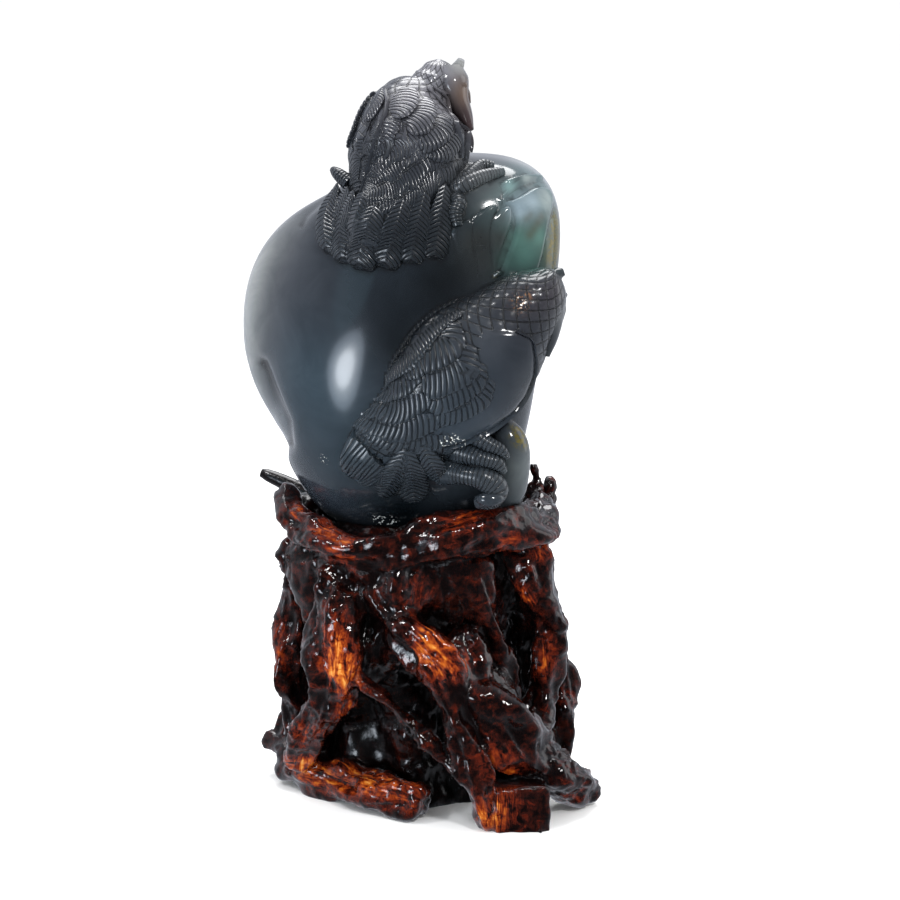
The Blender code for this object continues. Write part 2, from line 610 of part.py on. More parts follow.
# Sawn block at the front: middle of its underside and its size
BLOCK_PLACE = (34.0, -40.0, 0.0)
BLOCK_SIZE = (20.0, 15.0, 18.0)
BLOCK_TURN = 0.20

# Gnarled grain of the roots: size of the knots and how far they stand out
KNOT_SIZE = 0.011
KNOT_HEIGHT = 0.0040


def sawn_block():
    shape = bmesh.new()
    bmesh.ops.create_cube(shape, size=1.0)
    corners = np.array([point.co for point in shape.verts])
    corners = (corners + (0.0, 0.0, 0.4)) * BLOCK_SIZE
    turn = np.array([[math.cos(BLOCK_TURN), math.sin(BLOCK_TURN), 0.0],
                     [-math.sin(BLOCK_TURN), math.cos(BLOCK_TURN), 0.0], [0.0, 0.0, 1.0]])
    places = stand_to_world(corners @ turn + BLOCK_PLACE)
    for point, place in zip(shape.verts, places):
        point.co = place
    mesh = bpy.data.meshes.new("sawn_block")
    shape.to_mesh(mesh)
    shape.free()
    return mesh


def stand_trunk():
    along = np.linspace(0.0, 1.0, 24)[:, None]
    around = np.linspace(0.0, 2 * math.pi, 32, endpoint=False)[None, :]
    spots, normals = skin(TRUNK, along, around)
    flutes = np.cos(TRUNK_FLUTES * around + 4.0 * along) + 0.5 * np.cos(3.0 * around - 5.0 * along)
    return loft("trunk", stand_to_world(spots + normals * flutes[..., None] * FLUTE_DEPTH))


def box_below_floor(group):
    shape = bmesh.new()
    bmesh.ops.create_cube(shape, size=1.0)
    size = (2.0 * FOOT_WIDTH, 2.0 * FOOT_DEPTH, STAND_HEIGHT)
    for point in shape.verts:
        point.co = (point.co.x * size[0], point.co.y * size[1], (point.co.z - 0.5) * size[2])
    mesh = bpy.data.meshes.new("below_floor")
    shape.to_mesh(mesh)
    shape.free()
    return link_mesh("below_floor", mesh, group)


def hide_cutter(cutter):
    cutter.hide_render = True
    cutter.display_type = "WIRE"


def seat_cutter(carving, group):
    # The stone's own surface, grown by the clearance, that hollows out its seat
    cutter = link_mesh("seat_cutter", carving.data.copy(), group)
    grown = cutter.modifiers.new("clearance", "DISPLACE")
    grown.strength = SEAT_GAP
    grown.mid_level = 0.0
    bake(cutter)
    hide_cutter(cutter)
    return cutter


def build_stand(group, cutters, carving):
    forms = [stand_trunk(), sawn_block()]
    forms += [curve_to_mesh(root_curve(row), group) for row in ROOTS + RIM]
    stand = solid_from_meshes("root_stand", forms, group)
    run_together(stand, STAND_VOXEL)
    knots = bpy.data.textures.new("knots", "CLOUDS")
    knots.noise_scale = KNOT_SIZE
    knots.noise_depth = 2
    gnarl = stand.modifiers.new("gnarl", "DISPLACE")
    gnarl.texture = knots
    gnarl.texture_coords = "LOCAL"
    gnarl.strength = KNOT_HEIGHT
    gnarl.mid_level = 0.5
    bake(stand)
    run_together(stand, STAND_VOXEL)
    keep_largest_body(stand)
    thin_out(stand, STAND_TRIANGLES)
    floor = box_below_floor(cutters)
    hide_cutter(floor)
    cut(stand, floor)
    cut(stand, seat_cutter(carving, cutters))
    keep_largest_body(stand)
    return stand


def main():
    clear_scene()
    parts = new_collection("agate_owl_carving")
    cutters = new_collection("cutters")
    agate = principled("polished_agate", (0.055, 0.065, 0.080), 0.08)
    rootwood = principled("lacquered_root_wood", (0.110, 0.030, 0.012), 0.20)
    carving = build_carving(parts, new_collection("carved_forms"))
    shade(carving, agate)
    stand = build_stand(parts, cutters, carving)
    shade(stand, rootwood)


main()
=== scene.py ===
import json
import math

import bmesh
import bpy
import numpy as np
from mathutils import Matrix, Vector

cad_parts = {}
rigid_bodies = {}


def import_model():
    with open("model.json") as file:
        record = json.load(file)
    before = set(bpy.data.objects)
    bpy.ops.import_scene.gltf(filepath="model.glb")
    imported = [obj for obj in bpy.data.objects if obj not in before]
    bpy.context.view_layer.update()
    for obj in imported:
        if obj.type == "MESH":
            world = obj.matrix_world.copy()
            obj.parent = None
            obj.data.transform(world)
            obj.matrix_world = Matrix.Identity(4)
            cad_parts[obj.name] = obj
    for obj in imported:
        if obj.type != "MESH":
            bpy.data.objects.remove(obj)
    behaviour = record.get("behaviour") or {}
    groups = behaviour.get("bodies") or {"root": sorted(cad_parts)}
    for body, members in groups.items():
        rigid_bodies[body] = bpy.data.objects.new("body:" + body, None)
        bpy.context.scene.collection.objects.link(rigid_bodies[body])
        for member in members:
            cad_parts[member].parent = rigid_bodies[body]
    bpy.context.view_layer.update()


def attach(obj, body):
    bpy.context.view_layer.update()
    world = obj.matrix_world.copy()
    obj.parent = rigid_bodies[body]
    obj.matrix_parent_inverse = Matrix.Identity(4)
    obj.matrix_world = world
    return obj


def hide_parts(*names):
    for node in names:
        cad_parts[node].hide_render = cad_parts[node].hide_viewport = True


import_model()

# Agate carving of two owls on a boulder, resting in a stand of lacquered root wood.
# Shapes are drawn in millimetres: the stone from its own underside, the stand from the floor.

mm = 0.001
seatLevel = 94.0    # height of the stone's underside: the rim at 108 less a seat 14 deep
turn = 2.0 * math.pi
# The front view in which outlines are drawn: mm to the right and up on the plane through the
# target, square to the line of sight
sight = {"target": (9.4, 0.0, 129.0), "distance": 1100.0, "elevation": 12.0}
lookDown = math.radians(sight["elevation"])
ahead = np.array((0.0, math.cos(lookDown), -math.sin(lookDown)))
upward = np.array((0.0, math.sin(lookDown), math.cos(lookDown)))


def sameShape(*values):
    # Numbers and arrays as arrays of one common shape
    return np.broadcast_arrays(*(np.asarray(value, float) for value in values))


def unitVectors(vectors):
    # Each vector divided by its own length
    return vectors / np.maximum(np.linalg.norm(vectors, axis=-1, keepdims=True), 1e-12)


def smoothPath(points, steps):
    # Catmull-Rom curve: a cubic between each pair of neighbouring rows, read at even steps
    points = np.asarray(points, float)
    ends = np.vstack([2 * points[0] - points[1], points, 2 * points[-1] - points[-2]])
    place = np.linspace(0, len(points) - 1, steps)
    first = np.minimum(place.astype(int), len(points) - 2)
    t = (place - first)[:, None]
    a, b, c, d = (ends[first + k] for k in range(4))
    return b + 0.5 * t * (c - a + t * (2 * a - 5 * b + 4 * c - d + t * (3 * (b - c) + d - a)))


def smoothStep(low, high, x):
    # 0 below low, 1 above high, 3t^2 - 2t^3 between
    t = np.clip((x - low) / (high - low), 0.0, 1.0)
    return t * t * (3.0 - 2.0 * t)


def seenAt(points):
    # Perspective picture of the stone's points: their offset from the line of sight times
    # distance / (distance + depth)
    x, _, z = sight["target"]
    away = points + (0.0, 0.0, seatLevel) - np.array(sight["target"])
    near = sight["distance"] / (sight["distance"] + away @ ahead)
    return np.stack([x + away[..., 0] * near, z + away @ upward * near], axis=-1)


def sightRay(across, up):
    # Eye and direction of the line of sight through a spot of the front view, measured from the
    # stone's underside
    target = np.array(sight["target"]) - (0.0, 0.0, seatLevel)
    eye = target - ahead * sight["distance"]
    spot = (target + (across - sight["target"][0])[..., None] * np.array((1.0, 0.0, 0.0))
            + (up - sight["target"][2])[..., None] * upward)
    return eye, unitVectors(spot - eye)


def fromLine(spots, line):
    # Distance of each spot of the front view from a line of straight pieces
    line = np.asarray(line, float)
    best = np.full(spots.shape[:-1], 1e9)
    for start, end in zip(line[:-1], line[1:]):
        run = end - start
        t = np.clip((spots - start) @ run / (run @ run), 0.0, 1.0)
        best = np.minimum(best, np.linalg.norm(spots - start - t[..., None] * run, axis=-1))
    return best


def insideOutline(spots, outline):
    # A spot is inside a closed outline when a line to its right crosses it an odd number of times
    outline = np.asarray(outline, float)
    inside = np.zeros(spots.shape[:-1], bool)
    for start, end in zip(outline, np.roll(outline, -1, axis=0)):
        spans = (start[1] > spots[..., 1]) != (end[1] > spots[..., 1])
        rise = (end[1] - start[1]) or 1e-9    # a level side spans nothing
        crossing = start[0] + (end[0] - start[0]) * (spots[..., 1] - start[1]) / rise
        inside ^= spans & (spots[..., 0] < crossing)
    return inside


def writeValues(mesh, name, values):
    # Numbers kept at the mesh's points, one or three to a point, which a material reads by name
    kind, field = ("FLOAT", "value") if values.ndim == 1 else ("FLOAT_VECTOR", "vector")
    store = mesh.attributes.get(name) or mesh.attributes.new(name, kind, "POINT")
    store.data.foreach_set(field, np.ascontiguousarray(values, np.float32).ravel())


def meshObject(name, points, faces, group):
    mesh = bpy.data.meshes.new(name)
    mesh.from_pydata((points * mm).tolist(), [], faces)
    thing = bpy.data.objects.new(name, mesh)
    group.objects.link(thing)
    return thing


def closedSurface(name, rings, group, net=None):
    # Quads between neighbouring rings and, at both ends, a fan round the ring's middle point;
    # the faces are turned round if the volume they shut in, the sum of p.(q x r) / 6, is negative
    rows, columns = rings.shape[:2]
    points = np.concatenate([rings.reshape(-1, 3), rings[:1].mean(axis=1), rings[-1:].mean(axis=1)])
    here = np.arange(rows * columns).reshape(rows, columns)
    beside = np.roll(here, -1, axis=1)
    quads = np.stack([here[:-1], beside[:-1], beside[1:], here[1:]], axis=-1).reshape(-1, 4)
    low, high = np.full(columns, rows * columns), np.full(columns, rows * columns + 1)
    fans = np.concatenate([np.stack([beside[0], here[0], low], axis=-1),
                           np.stack([here[-1], beside[-1], high], axis=-1)])
    halves = np.concatenate([quads[:, [0, 1, 2]], quads[:, [0, 2, 3]], fans])
    p, q, r = (points[halves[:, k]] - points[0] for k in range(3))
    if np.sum(p * np.cross(q, r)) < 0.0:
        quads, fans = quads[:, ::-1], fans[:, ::-1]
    thing = meshObject(name, points, quads.tolist() + fans.tolist(), group)
    values = np.zeros((len(points), 3))
    if net is not None:
        values[:-2] = net.reshape(-1, 3)
    writeValues(thing.data, "net", values)
    return thing


def newGroup(name):
    group = bpy.data.collections.new(name)
    bpy.context.scene.collection.children.link(group)
    return group


def bakeModifiers(thing):
    # Puts what the modifiers make of the object in the place of its mesh
    bpy.context.view_layer.update()
    evaluated = thing.evaluated_get(bpy.context.evaluated_depsgraph_get())
    mesh = bpy.data.meshes.new_from_object(evaluated)
    thing.modifiers.clear()
    thing.data = mesh


def uniteGroup(thing, group):
    # Boolean union of the object with all the closed surfaces of a group, which is then emptied
    joint = thing.modifiers.new("union", "BOOLEAN")
    joint.operation = "UNION"
    joint.solver = "MANIFOLD"
    joint.operand_type = "COLLECTION"
    joint.collection = group
    bakeModifiers(thing)
    for other in list(group.objects):
        bpy.data.objects.remove(other, do_unlink=True)


def cutAway(thing, cutter):
    # Boolean difference, after which the cutter is removed
    joint = thing.modifiers.new("cut", "BOOLEAN")
    joint.operation = "DIFFERENCE"
    joint.solver = "MANIFOLD"
    joint.object = cutter
    bakeModifiers(thing)
    bpy.data.objects.remove(cutter, do_unlink=True)


def readPoints(mesh):
    flat = np.empty(len(mesh.vertices) * 3)
    mesh.vertices.foreach_get("co", flat)
    return flat.reshape(-1, 3) / mm


def readNormals(mesh):
    flat = np.empty(len(mesh.vertices) * 3)
    mesh.vertices.foreach_get("normal", flat)
    return flat.reshape(-1, 3)


def readEdges(mesh):
    flat = np.empty(len(mesh.edges) * 2, int)
    mesh.edges.foreach_get("vertices", flat)
    return flat.reshape(-1, 2)


def blurred(values, edges, rounds):
    # Each point's value mixed with the mean of its neighbours, as often as asked
    low, high = edges.T
    count = len(values)
    ties = np.maximum(np.bincount(low, minlength=count) + np.bincount(high, minlength=count), 1)
    for _ in range(rounds):
        near = np.stack([np.bincount(low, weights=part[high], minlength=count)
                         + np.bincount(high, weights=part[low], minlength=count)
                         for part in values.reshape(count, -1).T], axis=-1) / ties[:, None]
        values = (0.5 * values.reshape(count, -1) + 0.5 * near).reshape(values.shape)
    return values


def hollows(mesh, rounds, full):
    # 0 on crests and flats, 1 where a point lies the full depth below its smoothed surroundings
    points, normals = readPoints(mesh), readNormals(mesh)
    away = blurred(points, readEdges(mesh), rounds) - points
    return np.clip(np.sum(away * normals, axis=1) / full, 0.0, 1.0)


def nearSpots(points, spots):
    # Sum of round patches, each fading as exp(-(distance / radius)^2)
    total = np.zeros(len(points))
    for x, y, z, radius, strength in spots:
        total += strength * np.exp(-np.sum((points - (x, y, z)) ** 2, axis=1) / radius ** 2)
    return np.clip(total, 0.0, 1.0)


def triangleCount(mesh):
    sizes = np.empty(len(mesh.polygons), int)
    mesh.polygons.foreach_get("loop_total", sizes)
    return int((sizes - 2).sum())


def latticeNoise(points, size, seed):
    # Smooth noise from -1 to 1: random numbers on a cubic lattice of the given spacing, blended
    # between its eight corners with 3t^2 - 2t^3 weights
    period = 32
    table = np.random.default_rng(seed).uniform(-1.0, 1.0, (period, period, period))
    scaled = points / size
    cell = np.floor(scaled).astype(int)
    t = scaled - cell
    t = t * t * (3.0 - 2.0 * t)
    total = 0.0
    for corner in np.ndindex(2, 2, 2):
        x, y, z = np.moveaxis((cell + corner) % period, -1, 0)
        a, b, c = np.moveaxis(np.abs(1 - np.array(corner) - t), -1, 0)
        total = total + table[x, y, z] * (a * b * c)
    return total


print("stage: boulder")
boulder = {
    "centre": (-6.0, 2.0, 72.0),
    # three rounded lobes: centre, radii, squareness
    "lobes": (((-6.0, 2.0, 68.0), (50.0, 37.0, 69.0), 2.1),
              ((-20.0, 13.0, 79.0), (45.5, 28.0, 47.0), 2.2),
              ((14.0, 4.0, 101.0), (36.5, 33.0, 40.5), 3.0)),
    # broad flats: a point on the flat, its outward direction
    "facets": (((34.0, -27.0, 112.0), (0.50, -0.84, 0.20)),
               ((49.0, 4.0, 104.0), (0.98, 0.05, -0.18)),
               ((-22.0, -32.0, 92.0), (-0.42, -0.86, 0.28))),
    "blend": 16.0,    # the higher, the sharper the lobes and flats meet
    # valleys in the front view: depth, width, line
    "valleys": ((3.0, 3.0, ((-60.5, 160.0), (-57.5, 152.0), (-54.5, 145.0), (-51.5, 138.0),
                            (-50.5, 130.0))),
                (0.7, 1.4, ((-44.5, 211.0), (-43.1, 214.1), (-35.9, 220.2), (-26.8, 224.9)))),
    "rows": 112,
    "columns": 176,
}


def boulderField(points):
    # Below 1 inside the boulder: the lobes' superellipsoid reaches r run together as
    # (sum of r^-16)^(-1/16), then cut by the flats as (f^16 + flat^16)^(1/16)
    power = boulder["blend"]
    total = 0.0
    for centre, radii, square in boulder["lobes"]:
        share = np.abs((points - centre) / radii) + 1e-6
        total = total + np.sum(share ** square, axis=-1) ** (-power / square)
    field = total ** (-1.0 / power)
    middle = np.array(boulder["centre"])
    for place, outward in boulder["facets"]:
        outward = unitVectors(np.array(outward))
        reach = (points - middle) @ outward / ((np.array(place) - middle) @ outward)
        field = (field ** power + np.maximum(reach, 0.0) ** power) ** (1.0 / power)
    return field


def boulderReach(origin, direction, far=140.0):
    # Distance along each ray to the boulder's surface, by halving the interval 24 times
    low = np.zeros(direction.shape[:-1])
    high = np.full(direction.shape[:-1], far)
    for _ in range(24):
        middle = 0.5 * (low + high)
        inside = boulderField(origin + direction * middle[..., None]) < 1.0
        low = np.where(inside, middle, low)
        high = np.where(inside, high, middle)
    return low


def onBoulder(across, up, lift=0.0):
    # Spot of the boulder behind a spot of the front view, raised from the centre
    across, up, lift = sameShape(across, up, lift)
    eye, ray = sightRay(across, up)
    inside = eye + ray * ((boulder["centre"][1] - eye[1]) / ray[..., 1])[..., None]
    spot = inside - ray * boulderReach(inside, -ray, far=60.0)[..., None]
    return spot + unitVectors(spot - boulder["centre"]) * lift[..., None]


def boulderRings(rows, columns, lift=0.0):
    # Rays from the centre at even steps of latitude and longitude, out to the surface
    pole = 0.25 * turn - 0.02
    latitude, bearing = np.meshgrid(np.linspace(pole, -pole, rows),
                                    np.linspace(0.0, turn, columns, endpoint=False), indexing="ij")
    rays = np.stack([np.cos(latitude) * np.cos(bearing), np.cos(latitude) * np.sin(bearing),
                     np.sin(latitude)], axis=-1)
    centre = np.array(boulder["centre"])
    reach = boulderReach(centre, rays)
    points = centre + rays * reach[..., None]
    seen, front = seenAt(points), smoothStep(14.0, 0.0, points[..., 1])
    for depth, width, line in boulder["valleys"]:
        reach = reach - depth * front * np.exp(-(fromLine(seen, line) / width) ** 2)
    return centre + rays * (reach + lift)[..., None]


def toStone(rings):
    # From the stone's underside to the floor
    return rings + (0.0, 0.0, seatLevel)


print("stage: owls")
# Forms with a spine: rows of x, y, z, half width and half thickness, and the way the back faces.
# The owls' spines run from the tail's root to the crown
upperOwl = {
    "spine": ((-21.5, -31.0, 120.3, 3.2, 2.6), (-16.0, -27.0, 123.4, 9.6, 6.4),
              (-11.0, -20.0, 126.9, 15.6, 11.2), (-8.1, -13.0, 132.1, 18.8, 14.7),
              (-5.7, -7.5, 138.4, 21.2, 18.0), (-4.5, -3.5, 146.0, 21.2, 19.0),
              (-3.6, 0.0, 153.2, 19.2, 17.2), (-1.0, 3.0, 159.2, 14.8, 14.2),
              (2.8, 5.0, 164.4, 8.8, 10.8), (4.8, 6.0, 169.4, 7.0, 9.3),
              (5.4, 6.0, 173.6, 4.4, 5.2), (5.6, 6.0, 175.4, 0.5, 0.5)),
    "back": (-0.45, -0.89, 0.0),
    "rows": ((0.0, 0.56, 26), (0.56, 1.0, 56)),
    "columns": 100,
    "cell": (4.4, 18), "cellRise": 0.35,    # mm along the body, cells round it; mm
    "bare": (),                             # outline in the front view of a smooth part, if any
}
lowerOwl = {
    "spine": ((-27.0, -30.0, 40.5, 3.5, 2.8), (-19.5, -30.0, 44.0, 9.0, 8.6),
              (-11.0, -30.0, 47.4, 12.5, 13.6), (-1.5, -30.0, 52.4, 15.0, 18.6),
              (8.3, -30.0, 62.2, 17.0, 22.8), (16.7, -30.0, 72.1, 17.5, 23.5),
              (26.2, -30.0, 81.7, 16.0, 19.8), (33.5, -30.0, 89.8, 13.5, 14.8),
              (41.0, -29.0, 98.0, 11.0, 10.5), (44.5, -28.5, 103.0, 6.5, 5.0),
              (46.0, -28.0, 105.2, 0.5, 0.5)),
    "back": (-0.70, -0.22, 0.68),
    "rows": ((0.0, 0.5, 32), (0.5, 1.0, 72)),
    "columns": 110,
    "cell": (4.6, 14), "cellRise": 0.45,
    "bare": ((21.6, 171.1), (26.7, 172.1), (34.5, 171.8), (39.0, 169.2), (40.2, 163.4), (39.7, 155.6),
             (36.7, 148.5), (31.9, 142.4), (26.1, 137.5), (19.6, 134.0), (13.8, 131.4), (8.0, 130.1),
             (5.0, 134.9), (8.2, 141.4), (16.9, 146.6), (20.1, 154.3), (20.5, 163.4)),
}


spineSteps = 200


def alongSpine(share, values):
    # Between the values kept at even steps of the spine, at a share of its rows
    return np.interp(np.clip(share, 0.0, 1.0) * spineSteps, np.arange(spineSteps + 1), values)


def skin(form, along, around, lift=0.0):
    # Ellipse side * sin + back * cos round the spine at the share along, raised along its normal
    along, around, lift = sameShape(along, around, lift)
    fine = smoothPath(form["spine"], spineSteps + 1)
    slope = np.gradient(fine[:, :3], axis=0)
    row, axis = (np.stack([alongSpine(along, part) for part in rows.T], axis=-1) for rows in (fine, slope))
    axis = unitVectors(axis)
    side = unitVectors(np.cross(axis, np.array(form["back"], float)))
    back = np.cross(side, axis)
    wide, thick = row[..., 3:4], row[..., 4:5]
    sin, cos = np.sin(around)[..., None], np.cos(around)[..., None]
    normal = unitVectors(side * sin / wide + back * cos / thick)
    return row[..., :3] + side * wide * sin + back * thick * cos + normal * lift[..., None]


def spineLength(form):
    # Distance up the spine at its even steps
    fine = smoothPath(form["spine"], spineSteps + 1)[:, :3]
    return np.concatenate([[0.0], np.cumsum(np.linalg.norm(np.diff(fine, axis=0), axis=1))])


def netLines(u, v):
    # Distance, in cells, from the two families of diagonals u + v and u - v that make the net
    return np.minimum(np.abs((u + v + 0.5) % 1.0 - 0.5), np.abs((u - v + 0.5) % 1.0 - 0.5))


def owlRings(owl):
    # Skin with plump cells between the lines of its net, as high as sqrt(2 * distance in cells),
    # and the net's own coordinates in cells, with its strength; the smooth part bulges a little
    along = np.concatenate([np.linspace(a, b, n, endpoint=False) for a, b, n in owl["rows"]] + [[1.0]])
    along = np.clip(along, 0.004, 0.996)[:, None]
    around = np.linspace(-0.5 * turn, 0.5 * turn, owl["columns"], endpoint=False)[None, :]
    height = alongSpine(along, spineLength(owl))
    u = height / owl["cell"][0] + 0.0 * around
    v = around * owl["cell"][1] / turn + 0.0 * along
    fade = smoothStep(0.0, 0.05, along) * smoothStep(1.0, 0.94, along)
    strength = fade * smoothStep(0.97 * math.pi, 0.9 * math.pi, np.abs(around))
    bare = np.zeros(strength.shape)
    if owl["bare"]:
        spots = skin(owl, along, around)
        seen, near = seenAt(spots), (skin(owl, along, around, 1.0) - spots) @ ahead < 0.0
        away = fromLine(seen, owl["bare"] + owl["bare"][:1])
        inside = insideOutline(seen, owl["bare"]) & near
        strength = np.where(inside, 0.0, strength * np.where(near, smoothStep(0.0, 1.2, away), 1.0))
        bare = np.where(inside, smoothStep(-0.6, 1.6, away) * smoothStep(16.0, 34.0, seen[..., 0]), 0.0)
    relief = np.sqrt(np.clip(netLines(u, v) * 2.0, 0.0, 1.0)) - 0.7
    rings = skin(owl, along, around, relief * strength * owl["cellRise"] + bare)
    return rings, np.stack([u, v, strength], axis=-1)


# The near side of the whole stone as a grid of the front view, in mm: its extent, its cells' size
# and, where owls' bodies end on the boulder, how far they are grown and how softly they then end
nearSide = {"left": -80.0, "low": 85.0, "wide": 155.0, "high": 205.0, "cell": 0.5,
            "grow": 3.0, "bridge": 3.5}


def nearDepths():
    # How far behind the target each cell's nearest spot lies; round the owls' bodies the same with
    # the near parts grown and then softened with a bell curve exp(-(distance / bridge)^2)
    cell = nearSide["cell"]
    across, up = np.meshgrid(nearSide["left"] + np.arange(0.0, nearSide["wide"], cell),
                             nearSide["low"] + np.arange(0.0, nearSide["high"], cell), indexing="ij")
    target = np.array(sight["target"]) - (0.0, 0.0, seatLevel)
    depth = (onBoulder(across, up) - target) @ ahead
    stone = depth.copy()
    for owl in (upperOwl, lowerOwl):
        along, around = np.meshgrid(np.linspace(0.0, 1.0, 400), np.linspace(-math.pi, math.pi, 600),
                                    indexing="ij")
        spots = skin(owl, along, around)
        place = np.rint((seenAt(spots) - (nearSide["left"], nearSide["low"])) / cell).astype(int)
        np.minimum.at(depth, (place[..., 0], place[..., 1]), (spots - target) @ ahead)
    bell = np.exp(-(np.arange(-40, 41) * cell / nearSide["bridge"]) ** 2)
    steps = round(nearSide["grow"] / cell)

    def softened(grid):
        for axis in (0, 1):
            grid = np.min([np.roll(grid, shift, axis=axis) for shift in range(-steps, steps + 1)], axis=0)
        for axis in (0, 1):
            grid = np.apply_along_axis(np.convolve, axis, grid, bell / bell.sum(), "same")
        return grid

    body = softened((depth < stone - 0.1).astype(float))
    return depth * body + np.minimum(depth, softened(depth)) * (1.0 - body)


def onStone(across, up, lift=0.0):
    # Spot of the stone's near side behind a spot of the front view, read between the grid's four
    # nearest cells, and raised from the boulder's centre
    across, up, lift = sameShape(across, up, lift)
    x = np.clip((across - nearSide["left"]) / nearSide["cell"], 0.0, stoneDepths.shape[0] - 1.001)
    y = np.clip((up - nearSide["low"]) / nearSide["cell"], 0.0, stoneDepths.shape[1] - 1.001)
    i, j = x.astype(int), y.astype(int)
    f, g = x - i, y - j
    depth = ((1 - f) * (1 - g) * stoneDepths[i, j] + f * (1 - g) * stoneDepths[i + 1, j]
             + (1 - f) * g * stoneDepths[i, j + 1] + f * g * stoneDepths[i + 1, j + 1])
    eye, ray = sightRay(across, up)
    spot = eye + ray * ((sight["distance"] + depth) / (ray @ ahead))[..., None]
    return spot + unitVectors(spot - boulder["centre"]) * lift[..., None]


stoneDepths = nearDepths()


def sketched(form, rows):
    # Rows drawn in the front view, as the share along the form and the angle round it: the nearest
    # of a grid of spots that face the eye, then three Newton steps with slopes over a small step
    rows = np.asarray(rows, float)
    along, around = np.meshgrid(np.linspace(0.01, 0.99, 120), np.linspace(-2.6, 3.1, 160),
                                indexing="ij")
    spots = skin(form, along, around)
    facing = (skin(form, along, around, 1.0) - spots) @ ahead < -0.1
    seen = seenAt(spots)[facing]
    first = np.argmin(np.linalg.norm(seen[None] - rows[:, None, :2], axis=-1), axis=1)
    a, b = along[facing][first], around[facing][first]
    step = 1e-3
    for _ in range(3):
        here = seenAt(skin(form, a, b))
        da = (seenAt(skin(form, a + step, b)) - here) / step
        db = (seenAt(skin(form, a, b + step)) - here) / step
        miss = rows[:, :2] - here
        area = da[:, 0] * db[:, 1] - da[:, 1] * db[:, 0]
        area = np.where(np.abs(area) < 1.0, np.copysign(1.0, area), area)
        a = a + np.clip((miss[:, 0] * db[:, 1] - miss[:, 1] * db[:, 0]) / area, -0.02, 0.02)
        b = b + np.clip((miss[:, 1] * da[:, 0] - miss[:, 0] * da[:, 1]) / area, -0.05, 0.05)
    return np.column_stack([np.clip(a, 0.01, 0.99), b, rows[:, 2:]])


def limbRings(form, rows, columns, ring=0.0, pitch=1.5):
    # Tube round a spine, with rounded rings pressed into it every pitch millimetres
    along = np.linspace(0.0, 1.0, rows)[:, None]
    around = np.linspace(0.0, turn, columns, endpoint=False)[None, :]
    height = alongSpine(along, spineLength(form))
    groove = np.abs(np.sin(math.pi * height / pitch)) ** 0.6 - 1.0
    fade = smoothStep(0.02, 0.15, along) * smoothStep(1.0, 0.86, along)
    net = np.stack(sameShape(height / pitch, 0.0, -fade * (ring > 0.0) + 0.0 * around), axis=-1)
    return skin(form, along, around, ring * groove * fade + 0.0 * around), net


def paceOn(place, a, b):
    # Length in mm of each step of a path on a surface, and the surface coordinates that a
    # millimetre square to it, towards its right, adds
    step = 1e-3
    here = place(a, b, 0.0)
    wideA = np.linalg.norm(place(a + step, b, 0.0) - here, axis=-1) / step
    wideB = np.linalg.norm(place(a, b + step, 0.0) - here, axis=-1) / step
    runA, runB = np.gradient(a) * wideA, np.gradient(b) * wideB
    pace = np.hypot(runA, runB)
    return pace, runB / pace / wideA, -runA / pace / wideB


def inwardBand(place, edge, width, hand=1.0):
    # Moves a free edge in by half the band's width, so that the band's own edge lies on it
    a, b = smoothPath(edge, 12).T
    _, sideA, sideB = paceOn(place, a, b)
    half = 0.5 * hand * width * np.interp(np.linspace(0, 1, 12), (0, 0.2, 0.8, 1), (0.8, 1, 1, 0.7))
    return np.stack([a - sideA * half, b - sideB * half, np.abs(half)], axis=-1)


